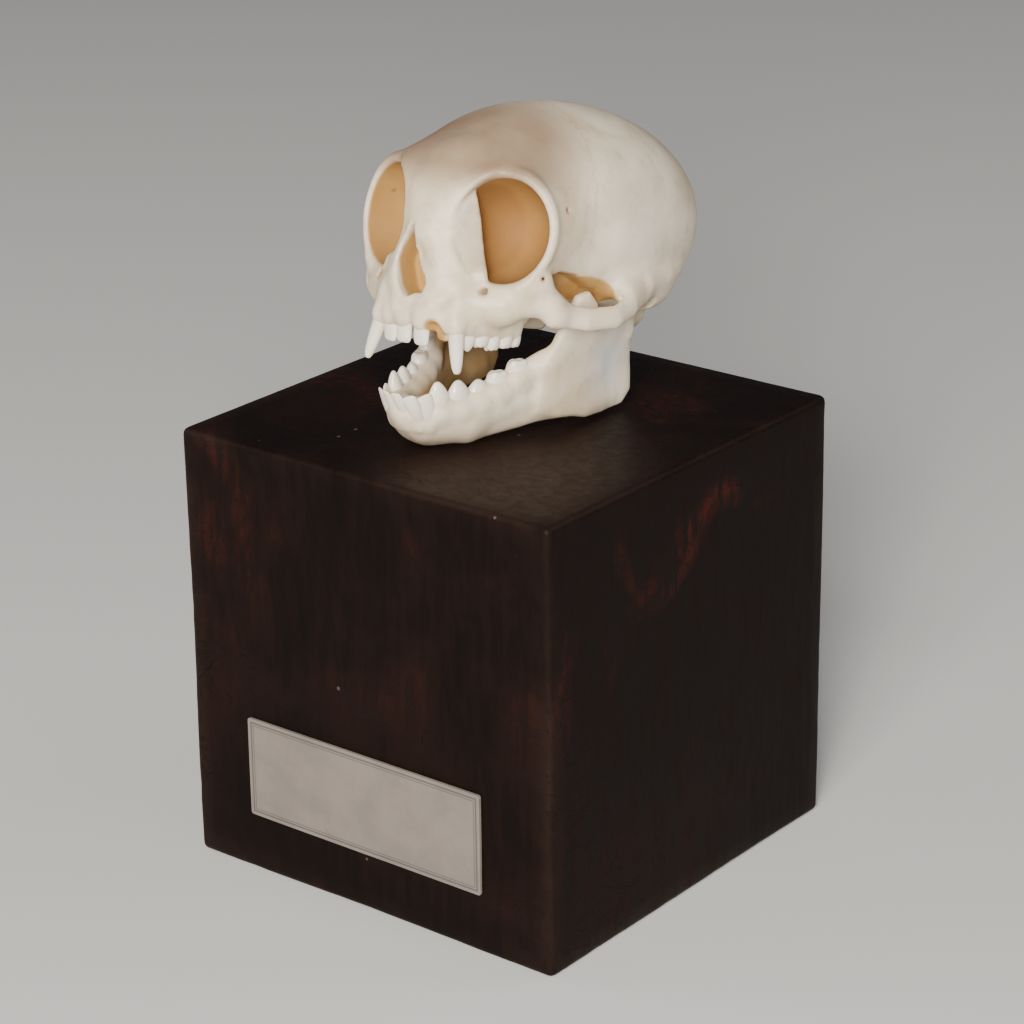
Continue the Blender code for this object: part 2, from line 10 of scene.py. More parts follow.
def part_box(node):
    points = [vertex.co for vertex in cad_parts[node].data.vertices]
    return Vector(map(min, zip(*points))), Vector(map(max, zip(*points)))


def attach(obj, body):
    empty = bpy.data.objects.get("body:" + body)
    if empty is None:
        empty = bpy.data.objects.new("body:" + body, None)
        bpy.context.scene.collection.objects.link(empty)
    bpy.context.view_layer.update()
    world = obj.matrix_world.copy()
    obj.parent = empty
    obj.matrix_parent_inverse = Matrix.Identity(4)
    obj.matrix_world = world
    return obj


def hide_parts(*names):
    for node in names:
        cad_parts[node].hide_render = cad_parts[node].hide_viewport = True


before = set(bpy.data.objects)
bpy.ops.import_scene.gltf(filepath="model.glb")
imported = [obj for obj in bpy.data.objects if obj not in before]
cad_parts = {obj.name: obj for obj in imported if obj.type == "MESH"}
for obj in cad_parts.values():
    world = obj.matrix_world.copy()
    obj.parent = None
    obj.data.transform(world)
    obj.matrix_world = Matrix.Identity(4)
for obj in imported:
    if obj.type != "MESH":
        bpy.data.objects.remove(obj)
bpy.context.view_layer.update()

MM = 0.001

# The block: a cube of dark hardwood, sawn, sanded by hand and stained nearly black. Its faces
# belly a little, its arrises are worn round, and handling has rubbed the stain off in places.
# A paler patch on the top near the front is a painted sheen, and the right side face is
# darkened with painted shade.
ARRIS = 0.8
PAINTED_SHEEN_AT = (12.0, -15.0, 50.0)
FACE_CUTS = 26
BELLY = 0.12
BELLY_EVERY = 21.0
BELLY_SHIFT = Vector((4.1, 0.7, 2.2))
DENT = 0.09
DENT_EVERY = 3.1
DENTS_FROM = 0.86
WORN_FROM = 0.93
TOP_SHARE = 0.2
WOOD_SHADED = (0.0035, 0.0016, 0.0012)
WOOD_DARK = (0.0035, 0.0018, 0.0014)
WOOD_BROWN = (0.0135, 0.0055, 0.0040)
WOOD_SHEEN = (0.026, 0.0145, 0.0105)
WOOD_RED = (0.050, 0.0085, 0.005)
WORN_EDGE = (0.022, 0.012, 0.009)
CRACK = (0.0012, 0.0008, 0.0006)
DUST = (0.14, 0.10, 0.08)


def finished(name, mesh, stuff, node_name):
    """Makes a piece from its mesh, with its material, and sets it in the frame."""
    mesh.shade_smooth()
    piece = bpy.data.objects.new(name, mesh)
    bpy.context.scene.collection.objects.link(piece)
    mesh.materials.append(stuff)
    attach(piece, "root")
    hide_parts(node_name)
    return piece


def mesh_from(name, bm):
    """Turns an edited mesh into a stored one."""
    mesh = bpy.data.meshes.new(name)
    bm.to_mesh(mesh)
    bm.free()
    return mesh


def give(mesh, name, values):
    """Stores one number for each point of a mesh, for its material to read."""
    layer = mesh.attributes.new(name, "FLOAT", "POINT")
    layer.data.foreach_set("value", np.asarray(values, np.float32))


def finish_of(name, roughness):
    """A new material, its node tree and its shader."""
    made = bpy.data.materials.new(name)
    made.use_nodes = True
    shader = made.node_tree.nodes["Principled BSDF"]
    shader.inputs["Roughness"].default_value = roughness
    return made, made.node_tree, shader


def node(tree, kind, settings=None, **feeds):
    """One shader node. Feeds are numbers, colours or outputs, by the input's name."""
    made = tree.nodes.new("ShaderNode" + kind)
    for key, value in (settings or {}).items():
        setattr(made, key, value)
    for key, value in feeds.items():
        socket = made.inputs[key.replace("_", " ")]
        if isinstance(value, bpy.types.NodeSocket):
            tree.links.new(value, socket)
        else:
            socket.default_value = value
    return made


def stored(tree, name):
    """A number that was given to the points of the mesh."""
    return node(tree, "Attribute", {"attribute_name": name}).outputs["Fac"]


def stretched(tree, scale=(1.0, 1.0, 1.0)):
    """Object coordinates stretched along the axes."""
    place = node(tree, "TexCoord")
    return node(tree, "Mapping", Vector=place.outputs["Object"], Scale=scale).outputs["Vector"]


def cloud(tree, vector, scale, detail=4.0, rough=0.55, twist=0.0):
    """Cloudy mottling, about 0.5 on the whole."""
    made = node(
        tree, "TexNoise", Vector=vector, Scale=scale, Detail=detail, Roughness=rough, Distortion=twist)
    return made.outputs["Fac"]


def between(tree, value, low, high, start=0.0, end=1.0):
    """A value taken from the range low to high to the range start to end, and held there."""
    made = node(tree, "MapRange", {"interpolation_type": "SMOOTHSTEP"}, Value=value)
    for key, number in (("From Min", low), ("From Max", high), ("To Min", start), ("To Max", end)):
        made.inputs[key].default_value = number
    return made.outputs["Result"]


def mixed(tree, share, first, second):
    """The first colour with a share of the second in it."""
    made = tree.nodes.new("ShaderNodeMix")
    made.data_type = "RGBA"
    for index, value in ((0, share), (6, first), (7, second)):
        if isinstance(value, bpy.types.NodeSocket):
            tree.links.new(value, made.inputs[index])
        else:
            made.inputs[index].default_value = value if index == 0 else (*value, 1.0)
    return made.outputs[2]


def maths(tree, way, first, second):
    """One step of arithmetic on numbers or outputs."""
    made = node(tree, "Math", {"operation": way})
    for index, value in ((0, first), (1, second)):
        if isinstance(value, bpy.types.NodeSocket):
            tree.links.new(value, made.inputs[index])
        else:
            made.inputs[index].default_value = value
    return made.outputs[0]


def times(tree, first, second):
    return maths(tree, "MULTIPLY", first, second)


def raised(tree, shader, height, distance, strength=1.0):
    """Makes the surface look raised by the height given."""
    bump = node(tree, "Bump", Height=height, Distance=distance, Strength=strength)
    tree.links.new(bump.outputs["Normal"], shader.inputs["Normal"])


block_low, block_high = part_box("wood_block")
block_middle = (block_low + block_high) / 2
block_size = block_high - block_low
bm = bmesh.new()
bmesh.ops.create_cube(bm, size=1.0)
bmesh.ops.scale(bm, verts=bm.verts, vec=block_size)
bmesh.ops.translate(bm, verts=bm.verts, vec=block_middle)
bmesh.ops.bevel(
    bm, geom=list(bm.edges), offset=ARRIS * MM, offset_type="OFFSET", segments=4, profile=0.5,
    affect="EDGES", material=-1)
long_edges = [e for e in bm.edges if e.calc_length() > 10 * MM]
bmesh.ops.subdivide_edges(bm, edges=long_edges, cuts=FACE_CUTS, use_grid_fill=True)
bm.normal_update()
worn = []
for v in bm.verts:
    off = [abs(v.co[i] - block_middle[i]) / (block_size[i] / 2) for i in range(3)]
    near = sorted(off)[1]
    worn.append(max(0.0, (near - WORN_FROM) / (1.0 - WORN_FROM)))
    swell = noise.noise(v.co / (BELLY_EVERY * MM) + BELLY_SHIFT) * BELLY
    near_edge = max(0.0, (near - DENTS_FROM) / (1.0 - DENTS_FROM))
    dent = noise.noise(v.co / (DENT_EVERY * MM)) * DENT * near_edge
    if off[2] < 0.999 or v.co.z > block_middle.z:
        share = TOP_SHARE if v.co.z > block_high.z - MM else 1.0
        v.co -= v.normal * (abs(dent) - swell) * MM * share
wood_mesh = mesh_from("wooden_block", bm)
give(wood_mesh, "wear", worn)

dark_wood, tree, shader = finish_of("stained_hardwood", 0.46)
grain = cloud(tree, stretched(tree, (1.0, 1.0, 0.16)), 900.0, 6.0, 0.62, 0.4)
pores = cloud(tree, stretched(tree, (1.0, 1.0, 0.3)), 3800.0, 3.0, 0.6)
patch = cloud(tree, stretched(tree), 62.0, 5.0, 0.6, 0.6)
place = node(tree, "TexCoord").outputs["Object"]
spread = node(tree, "SeparateXYZ", Vector=place)
side_face = between(tree, spread.outputs["X"], block_high.x - 0.9 * MM, block_high.x - 0.3 * MM)
top_face = between(tree, spread.outputs["Z"], block_high.z - 0.8 * MM, block_high.z - 0.1 * MM)
streaks = times(
    tree, between(tree, grain, 0.32, 0.72), between(tree, side_face, 0.0, 1.0, 0.35, 1.0))
brown = mixed(tree, streaks, WOOD_DARK, WOOD_BROWN)
brown = mixed(tree, between(tree, patch, 0.35, 0.7, 0.0, 0.55), brown, WOOD_BROWN)
# Painted shade: the right side face is mixed towards a darker brown so that it looks shaded.
brown = mixed(tree, between(tree, side_face, 0.0, 1.0, 0.0, 0.6), brown, WOOD_SHADED)
rubbed = times(tree, between(tree, patch, 0.50, 0.66), between(tree, grain, 0.40, 0.60))
# Painted sheen: a paler patch on the top near the front stands in for a glossy reflection. It fades out
# between 4 and 19 mm from its middle.
spot = node(tree, "VectorMath", {"operation": "DISTANCE"})
tree.links.new(place, spot.inputs[0])
spot.inputs[1].default_value = [v * MM for v in PAINTED_SHEEN_AT]
painted_sheen = between(tree, spot.outputs["Value"], 4 * MM, 19 * MM, 1.0, 0.0)
high_up = between(tree, spread.outputs["Z"], 22 * MM, 40 * MM, 0.12, 1.0)
rubbed = times(tree, rubbed, high_up)
rubbed = times(tree, rubbed, between(tree, side_face, 0.0, 1.0, 0.35, 0.7))
brown = mixed(tree, rubbed, brown, WOOD_RED)
painted_sheen = times(tree, top_face, painted_sheen)
brown = mixed(tree, times(tree, painted_sheen, 0.8), brown, WOOD_SHEEN)
edge_wear = times(tree, stored(tree, "wear"), between(tree, patch, 0.35, 0.7, 0.1, 0.75))
brown = mixed(tree, edge_wear, brown, WORN_EDGE)
speck = node(tree, "TexVoronoi", Vector=place, Scale=330.0, Randomness=1.0)
drawn = node(tree, "SeparateColor", Color=speck.outputs["Color"]).outputs["Red"]
few = between(tree, drawn, 0.82, 0.85)
dust = times(tree, between(tree, speck.outputs["Distance"], 0.05, 0.085, 1.0, 0.0), few)
brown = mixed(tree, times(tree, dust, 0.55), brown, DUST)
crack_lines = cloud(tree, stretched(tree, (1.0, 1.0, 1.5)), 95.0, 6.0, 0.7, 1.6)
crack = maths(tree, "ABSOLUTE", maths(tree, "SUBTRACT", crack_lines, 0.53), 0.0)
crack = times(
    tree, between(tree, crack, 0.002, 0.010, 1.0, 0.0), between(tree, patch, 0.52, 0.6))
brown = mixed(tree, times(tree, crack, 0.75), brown, CRACK)
shader.inputs["Specular IOR Level"].default_value = 0.07
tree.links.new(brown, shader.inputs["Base Color"])
tree.links.new(between(tree, grain, 0.3, 0.75, 0.40, 0.58), shader.inputs["Roughness"])
height = maths(tree, "ADD", times(tree, grain, 0.5), times(tree, pores, 0.25))
height = maths(tree, "SUBTRACT", height, crack)
raised(tree, shader, height, 0.07 * MM, 0.5)
finished("wooden_block", wood_mesh, dark_wood, "wood_block")

# The label: a slip of grey-beige paper, printed with a thin double border, left bare, and
# glued flat to the lower part of the block's front face.
PAPER_THICK = 0.32
PAPER_CORNER = 0.25
PAPER_CUTS = 12
WAVE = 0.04
WAVE_EVERY = 9.0
PAPER = (0.16, 0.135, 0.115)
PAPER_PALE = (0.25, 0.21, 0.175)
PRINTED = (0.045, 0.04, 0.038)
# Each printed line: how far in from the edge, and half its width.
BORDERS = ((0.46, 0.09), (0.76, 0.045))
label_low, label_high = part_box("label")
label_middle = (label_low + label_high) / 2
label_size = label_high - label_low
bm = bmesh.new()
bmesh.ops.create_cube(bm, size=1.0)
bmesh.ops.scale(bm, verts=bm.verts, vec=(label_size.x, PAPER_THICK * MM, label_size.z))
bmesh.ops.translate(
    bm, verts=bm.verts, vec=(label_middle.x, block_low.y - PAPER_THICK * MM / 2, label_middle.z))
upright = [e for e in bm.edges if abs(e.verts[0].co.y - e.verts[1].co.y) > 0.1 * MM]
bmesh.ops.bevel(
    bm, geom=upright, offset=PAPER_CORNER * MM, offset_type="OFFSET", segments=2, profile=0.5,
    affect="EDGES", material=-1)
long_edges = [e for e in bm.edges if e.calc_length() > 4 * MM]
bmesh.ops.subdivide_edges(bm, edges=long_edges, cuts=PAPER_CUTS, use_grid_fill=True)
for v in bm.verts:
    if v.co.y < block_low.y - PAPER_THICK * MM / 2:
        v.co.y += noise.noise(v.co / (WAVE_EVERY * MM)) * WAVE * MM
paper_mesh = mesh_from("paper_label", bm)
paper, tree, shader = finish_of("grey_paper", 0.82)
place = node(tree, "TexCoord").outputs["Object"]
from_middle = node(tree, "VectorMath", {"operation": "SUBTRACT"})
tree.links.new(place, from_middle.inputs[0])
from_middle.inputs[1].default_value = label_middle
spread = node(tree, "SeparateXYZ", Vector=from_middle.outputs[0])
across = maths(tree, "ABSOLUTE", spread.outputs["X"], 0.0)
upward = maths(tree, "ABSOLUTE", spread.outputs["Z"], 0.0)
inward = maths(
    tree, "MINIMUM", maths(tree, "SUBTRACT", label_size.x / 2, across),
    maths(tree, "SUBTRACT", label_size.z / 2, upward))
mottle = cloud(tree, stretched(tree), 260.0, 5.0, 0.6)
colour = mixed(tree, between(tree, mottle, 0.3, 0.7, 0.0, 0.35), PAPER, PAPER_PALE)
for inset, half_width in BORDERS:
    off = maths(tree, "ABSOLUTE", maths(tree, "SUBTRACT", inward, inset * MM), 0.0)
    line = between(tree, off, half_width * 0.6 * MM, half_width * 1.5 * MM, 0.72, 0.0)
    colour = mixed(tree, line, colour, PRINTED)
tree.links.new(colour, shader.inputs["Base Color"])
raised(tree, shader, cloud(tree, stretched(tree), 2600.0, 3.0, 0.6), 0.02 * MM, 0.5)
finished("paper_label", paper_mesh, paper, "label")
paper_mesh.shade_flat()

# The lower jaw: one bone, its two halves grown together at the chin, cleaned and bleached to
# a warm ivory and thin enough on the ramus to look bluish. Its surface is drawn as a field of
# distances, because no ready shape comes near a living bone, and is then skinned with faces.
JAW_STEP = 0.2
JAW_SLIM = 0.12
RAMUS_SLIM = 0.15
NO_SEAM = 40.0
GAP = 0.3
BLOCK_TOP = block_high.z / MM
CONDYLE_AT = (9.5, 8.4, 61.4)
IVORY = (0.63, 0.505, 0.335)
BONE_WHITE = (0.79, 0.69, 0.53)
BLUSH_AND_SHADE = (0.27, 0.17, 0.098)
COOL = (0.60, 0.585, 0.58)
# Painted shade and painted bounced light: the tan laid into the hollows stands in for their shade and
# for the warm light bounced around and through their thin bone.
HOLLOW_SHADE_TAN = (0.40, 0.21, 0.052)
PALE_HOLLOW_SHADE_TAN = (0.49, 0.29, 0.09)
DEEP_OCHRE = (0.22, 0.095, 0.022)
# Each tooth: its kind, x, y and z of the tip, height, width, depth, forward lean and turn.
LOWER = {
    "incisor_1": ("incisor", 0.66, -19.2, 57.5, 3.1, 1.4, 1.2, 2.0, 12),
    "incisor_2": ("incisor", 1.85, -18.5, 57.2, 3.0, 1.7, 1.3, 1.8, 36),
    "canine": ("incisor", 2.55, -17.1, 57.0, 2.9, 2.1, 1.5, 1.3, 62),
    "premolar_2": ("premolar", 2.95, -15.2, 58.1, 3.1, 2.5, 1.8, 0.4, 66),
    "premolar_3": ("premolar", 3.75, -12.8, 57.8, 2.8, 2.7, 1.9, 0.15, 70),
    "premolar_4": ("premolar", 4.5, -10.4, 57.4, 2.2, 2.6, 1.9, 0.0, 70),
    "molar_1": ("molar", 5.3, -8.1, 57.7, 1.8, 2.8, 2.0, 0.0, 68),
    "molar_2": ("molar", 6.15, -5.8, 58.5, 1.8, 2.8, 1.9, 0.0, 66),
}


def soft_union(a, b, soft):
    """Union of two distance fields with a fillet of about this size."""
    near = np.maximum(soft - np.abs(a - b), 0.0) / soft
    return np.minimum(a, b) - near * near * soft * 0.25


def carve(a, b, soft):
    """What is left of field a once b is cut out of it, with a rounded edge."""
    return -soft_union(-a, b, soft)


def ellipsoid(p, at, radii, turn=None):
    """Distance, near enough, to a ball stretched to three radii and turned."""
    q = [p[i] - at[i] for i in range(3)]
    if turn is not None:
        q = [sum(turn[j][i] * q[j] for j in range(3)) for i in range(3)]
    k0 = np.sqrt(sum((q[i] / radii[i]) ** 2 for i in range(3)))
    k1 = np.sqrt(sum((q[i] / radii[i] ** 2) ** 2 for i in range(3))) + 1e-6
    return k0 * (k0 - 1.0) / k1


def limb(p, knots, squash=(1.0, 1.0, 1.0)):
    """A chain of tapering rods through knots (x, y, z, radius), thinned by squash on each axis."""
    best = None
    for a, b in zip(knots[:-1], knots[1:]):
        reach = [b[i] - a[i] for i in range(3)]
        long2 = sum(v * v for v in reach) + 1e-9
        t = sum((p[i] - a[i]) * reach[i] for i in range(3)) / long2
        t = np.clip(t, 0.0, 1.0)
        off = sum((squash[i] * (p[i] - a[i] - t * reach[i])) ** 2 for i in range(3))
        d = np.sqrt(off) - (a[3] + t * (b[3] - a[3]))
        best = d if best is None else np.minimum(best, d)
    return best / max(squash)


def outline_2d(u, v, corners):
    """Signed distance to a closed polygon in a plane."""
    best = np.full(u.shape, 1e9, u.dtype)
    inside = np.zeros(u.shape, bool)
    for (au, av), (bu, bv) in zip(corners, corners[1:] + corners[:1]):
        eu, ev = bu - au, bv - av
        t = np.clip(((u - au) * eu + (v - av) * ev) / (eu * eu + ev * ev), 0.0, 1.0)
        best = np.minimum(best, (u - au - t * eu) ** 2 + (v - av - t * ev) ** 2)
        inside ^= ((av > v) != (bv > v)) & (u < (bu - au) * (v - av) / (bv - av + 1e-9) + au)
    return np.where(inside, -1.0, 1.0) * np.sqrt(best)


def samples(low, high, step):
    """The x, y and z of every point of a grid, as three arrays."""
    counts = [int(round((high[i] - low[i]) / step)) + 1 for i in range(3)]
    axes = [low[i] + step * np.arange(counts[i]) for i in range(3)]
    return [a.astype(np.float32) for a in np.meshgrid(*axes, indexing="ij")]


def skin(field, low, step):
    """The zero surface of a sampled field as quads, one point to each cell that it crosses."""
    size = field.shape
    rings, spots = [], []
    for axis in range(3):
        u, v = (axis + 1) % 3, (axis + 2) % 3
        lower = field.take(range(size[axis] - 1), axis)
        upper = field.take(range(1, size[axis]), axis)
        at = np.argwhere((lower < 0) != (upper < 0))
        fa = lower[tuple(at.T)]
        fb = upper[tuple(at.T)]
        spot = at.astype(float)
        spot[:, axis] += fa / (fa - fb)
        ring = []
        for du, dv in ((0, 0), (-1, 0), (-1, -1), (0, -1)):
            near = at.copy()
            near[:, u] += du
            near[:, v] += dv
            ring.append((near[:, 0] * size[1] + near[:, 1]) * size[2] + near[:, 2])
        ring = np.stack(ring, 1)
        flip = fa >= 0
        ring[flip] = ring[flip][:, ::-1]
        rings.append(ring)
        spots.append(np.repeat(spot, 4, axis=0))
    rings = np.concatenate(rings)
    spots = np.concatenate(spots)
    _, index = np.unique(rings.ravel(), return_inverse=True)
    index = index.reshape(-1)
    count = np.bincount(index)
    points = np.stack([np.bincount(index, spots[:, i]) / count for i in range(3)], 1)
    return points * step + np.array(low), index.reshape(-1, 4)


def bone_surface(name, points, quads, rounds):
    """Keeps the one closed surface of a bone and smooths away the steps of its grid."""
    bm = bmesh.new()
    mesh = bpy.data.meshes.new(name)
    mesh.from_pydata([tuple(v) for v in points * MM], [], quads.tolist())
    bm.from_mesh(mesh)
    left = set(bm.verts)
    groups = []
    while left:
        seed = left.pop()
        group = {seed}
        front = [seed]
        while front:
            v = front.pop()
            for e in v.link_edges:
                w = e.other_vert(v)
                if w in left:
                    left.discard(w)
                    group.add(w)
                    front.append(w)
        groups.append(group)
    groups.sort(key=len, reverse=True)
    for group in groups[1:]:
        bmesh.ops.delete(bm, geom=list(group), context="VERTS")
    for _ in range(rounds):
        bmesh.ops.smooth_vert(
            bm, verts=bm.verts, factor=0.5, use_axis_x=True, use_axis_y=True, use_axis_z=True)
    bm.to_mesh(mesh)
    bm.free()
    return mesh


def points_of(mesh):
    """The points and normals of a mesh, in millimetres, as columns."""
    count = len(mesh.vertices)
    flat = np.empty(count * 3, np.float32)
    mesh.vertices.foreach_get("co", flat)
    facing = np.empty(count * 3, np.float32)
    mesh.vertex_normals.foreach_get("vector", facing)
    return list(flat.reshape(-1, 3).T / MM), list(facing.reshape(-1, 3).T)


def step_up(value, low, high):
    """0 below low, 1 above high and smooth between; turned round where high is below low."""
    t = np.clip((value - low) / (high - low), 0.0, 1.0)
    return t * t * (3.0 - 2.0 * t)


def jaw_field(p):
    """Left half of the lower jaw, as it lies on the block."""
    lower_edge = limb(p, [
        (0.0, -13.7, 51.6, 1.0), (3.0, -10.7, 51.4, 1.05), (5.6, -5.6, 51.9, 1.0),
        (7.4, -1.4, 52.3, 0.95), (8.2, 2.0, 51.8, 0.7), (8.5, 6.0, 52.0, 0.3)])
    middle = limb(p, [
        (0.0, -16.0, 53.7, 1.1), (2.5, -13.4, 53.3, 1.15), (4.3, -9.8, 53.6, 1.2),
        (6.0, -5.6, 54.2, 1.15), (7.4, -1.2, 54.9, 0.8), (8.4, 4.0, 55.6, 0.3)])
    tooth_edge = limb(p, [
        (0.0, -17.5, 55.4, 0.9), (1.5, -16.5, 55.3, 1.0), (2.7, -14.4, 55.2, 1.1),
        (3.7, -11.6, 55.2, 1.15), (4.9, -8.6, 55.8, 1.2), (6.0, -5.8, 56.8, 1.2),
        (7.0, -3.2, 57.9, 1.0)])
    body = soft_union(soft_union(lower_edge, middle, 3.0), tooth_edge, 3.0) + JAW_SLIM
    symphysis = limb(p, [(0.0, -16.5, 54.6, 0.9), (0.0, -14.8, 52.8, 1.0), (0.0, -13.4, 51.8, 0.9)])
    body = soft_union(body, symphysis, 2.4)
    chin_side = limb(p, [(1.2, -14.7, 53.0, 0.9), (3.5, -11.5, 52.5, 0.95)])
    body = soft_union(body, chin_side, 2.4)
    profile = [
        (-4.4, 53.0), (-2.0, 51.9), (0.6, 51.3), (2.4, 50.4), (5.0, 50.1), (8.2, 50.3),
        (9.6, 51.8), (9.6, 54.2), (9.3, 57.0), (9.0, 59.6), (9.2, 61.4), (7.6, 61.6),
        (5.8, 60.3), (4.0, 61.0), (2.8, 63.6), (1.4, 65.2), (-0.2, 65.0), (-1.6, 62.6),
        (-2.7, 60.2), (-4.2, 58.0)]
    edge = outline_2d(p[1], p[2], profile) + RAMUS_SLIM
    ahead = 1.5 - p[1]
    mid_x = 8.8 + 0.12 * (p[2] - 52.0) - 0.14 * (ahead + np.sqrt(ahead * ahead + 9.0))
    mid_x = mid_x + 0.035 * np.maximum(p[1] - 6.0, 0.0) * np.maximum(55.0 - p[2], 0.0)
    half_thick = 0.55 + 0.12 * np.clip(-edge, 0.0, 1.0) - 0.06 * np.clip(-edge - 1.5, 0.0, 2.5)
    hollow = np.exp(-(((p[1] - 4.6) / 2.6) ** 2 + ((p[2] - 55.4) / 2.8) ** 2))
    half_thick = half_thick - 0.10 * hollow * step_up(p[0] - mid_x, -0.2, 0.3)
    ramus = -soft_union(-edge, -(np.abs(p[0] - mid_x) - half_thick), 0.5)
    shape = soft_union(body, ramus, 1.8)
    condyle = ellipsoid(p, CONDYLE_AT, (1.75, 0.8, 0.75))
    neck = limb(p, [(9.3, 8.6, 58.6, 0.7), (9.5, 8.5, 61.2, 0.75)], (0.8, 1.0, 1.0))
    shape = soft_union(shape, soft_union(condyle, neck, 0.6), 0.8)
    oblique = limb(p, [(6.9, -4.2, 55.9, 0.5), (7.9, -2.2, 57.2, 0.5), (8.6, -1.2, 59.4, 0.35)])
    shape = soft_union(shape, oblique, 0.7)
    small_hole = limb(p, [(5.6, -12.4, 53.6, 0.14), (3.6, -12.0, 53.7, 0.12)])
    shape = carve(shape, small_hole, 0.12)
    for kind, x, y, z, tall, wide, deep, forward, lean in LOWER.values():
        at = (x * 0.98, y + forward, z - tall - 0.25)
        share, soft = (0.26, 0.7) if kind == "incisor" else (0.45, 1.1)
        shape = soft_union(shape, ellipsoid(p, at, (wide * share, wide * share, 1.0)), soft)
    rest = BLOCK_TOP + GAP * 0.5 - p[2]
    return -soft_union(-shape, -rest, 0.15)


def both_sides(half):
    """A field of the left half, mirrored in the middle plane."""
    return np.concatenate([half[:0:-1], half], axis=0)


jaw_low, jaw_high = (-12.6, -22.0, 49.5), (12.6, 12.5, 66.5)
jaw = both_sides(jaw_field(samples((0.0, *jaw_low[1:]), jaw_high, JAW_STEP)))
jaw_points, jaw_quads = skin(jaw, jaw_low, JAW_STEP)
jaw_mesh = bone_surface("lower_jaw", jaw_points, jaw_quads, 2)
(px, py, pz), (nx, ny, nz) = points_of(jaw_mesh)
# Painted shade: the jaw's inner faces and the bone behind the chin get the tan of the hollows.
inner = step_up(-np.sign(px) * nx, 0.1, 0.6)
inner = inner * (1.0 - step_up(pz, 54.6, 55.8) * step_up(py, -3.5, -7.0))
behind_chin = step_up(ny, 0.2, 0.8) * step_up(np.abs(px), 4.0, 2.6) * step_up(pz, 52.8, 54.4)
give(jaw_mesh, "hollow_shade", np.maximum(inner, behind_chin) * 0.85)
cool = np.exp(-(((py - 5.2) / 3.4) ** 2 + ((pz - 56.4) / 4.0) ** 2)) * (np.abs(px) > 6.8)
give(jaw_mesh, "cool", cool * 0.9)
# The jaw is tinted darker towards the chin and its lower edge.
give(jaw_mesh, "blush_and_painted_shade", step_up(py, 2.0, -10.0) * step_up(pz, 55.0, 51.0) * 0.35)
give(jaw_mesh, "marks_and_painted_shade", np.zeros(len(px)))
give(jaw_mesh, "seam_across", np.full(len(px), NO_SEAM))
give(jaw_mesh, "seam_along", np.full(len(px), NO_SEAM))

bone_finish, tree, shader = finish_of("dry_bone", 0.42)
place = stretched(tree)
broad = cloud(tree, place, 95.0, 5.0, 0.55, 0.5)
small = cloud(tree, place, 520.0, 4.0, 0.6)
bone = mixed(tree, between(tree, broad, 0.32, 0.68), IVORY, BONE_WHITE)
bone = mixed(tree, between(tree, small, 0.48, 0.75, 0.0, 0.25), bone, BLUSH_AND_SHADE)
patchy = between(tree, broad, 0.25, 0.65, 0.65, 1.0)
for layer, hue in (("blush_and_painted_shade", BLUSH_AND_SHADE), ("cool", COOL)):
    bone = mixed(tree, times(tree, stored(tree, layer), patchy), bone, hue)
# The tan of the hollows: painted shade and painted bounced light.
hollow_shade = mixed(tree, between(tree, broad, 0.35, 0.7), HOLLOW_SHADE_TAN, PALE_HOLLOW_SHADE_TAN)
bone = mixed(tree, stored(tree, "hollow_shade"), bone, hollow_shade)
# Dark marks, and painted shade in the sockets and holes.
bone = mixed(tree, stored(tree, "marks_and_painted_shade"), bone, DEEP_OCHRE)
pit_cells = node(tree, "TexVoronoi", Vector=place, Scale=900.0, Randomness=1.0)
drawn = node(tree, "SeparateColor", Color=pit_cells.outputs["Color"]).outputs["Green"]
pits = between(tree, pit_cells.outputs["Distance"], 0.1, 0.24, 1.0, 0.0)
pits = times(tree, pits, between(tree, drawn, 0.86, 0.9))
bone = mixed(tree, times(tree, pits, 0.12), bone, DEEP_OCHRE)
# The seams between the bones of the braincase waver as fine lines about their stored courses.
wander = times(tree, maths(tree, "SUBTRACT", cloud(tree, place, 800.0, 3.0, 0.7), 0.5), 2.2)
seams = []
for layer in ("seam_across", "seam_along"):
    off = maths(tree, "ABSOLUTE", maths(tree, "ADD", stored(tree, layer), wander), 0.0)
    seams.append(between(tree, off, 0.03, 0.15, 1.0, 0.0))
seam = maths(tree, "MAXIMUM", *seams)
bone = mixed(tree, times(tree, seam, 0.22), bone, BLUSH_AND_SHADE)
tree.links.new(bone, shader.inputs["Base Color"])
dull = maths(
    tree, "ADD", between(tree, broad, 0.3, 0.7, 0.38, 0.52), times(tree, stored(tree, "hollow_shade"), 0.4))
tree.links.new(dull, shader.inputs["Roughness"])
shader.inputs["Subsurface Weight"].default_value = 0.12
shader.inputs["Subsurface Radius"].default_value = (1.0, 0.6, 0.35)
shader.inputs["Subsurface Scale"].default_value = 0.9 * MM
fine = cloud(tree, place, 2100.0, 4.0, 0.6)
height = maths(tree, "ADD", times(tree, small, 0.9), times(tree, fine, 0.2))
height = maths(tree, "SUBTRACT", height, times(tree, pits, 0.3))
height = maths(tree, "SUBTRACT", height, times(tree, seam, 0.5))
raised(tree, shader, height, 0.06 * MM, 0.55)
finished("lower_jaw", jaw_mesh, bone_finish, "mandible")

# The lower teeth: small glossy crowns of enamel, each grown into its own socket. The front
# ones are long and lean forward, and the cheek teeth carry low rounded cusps.
SIDES = 12
LOWER_ROOT = 1.2
ENAMEL = (0.80, 0.73, 0.61)
ENAMEL_PALE = (0.83, 0.77, 0.66)
ROOT_TONE_AND_NECK_SHADE = (0.72, 0.61, 0.45)
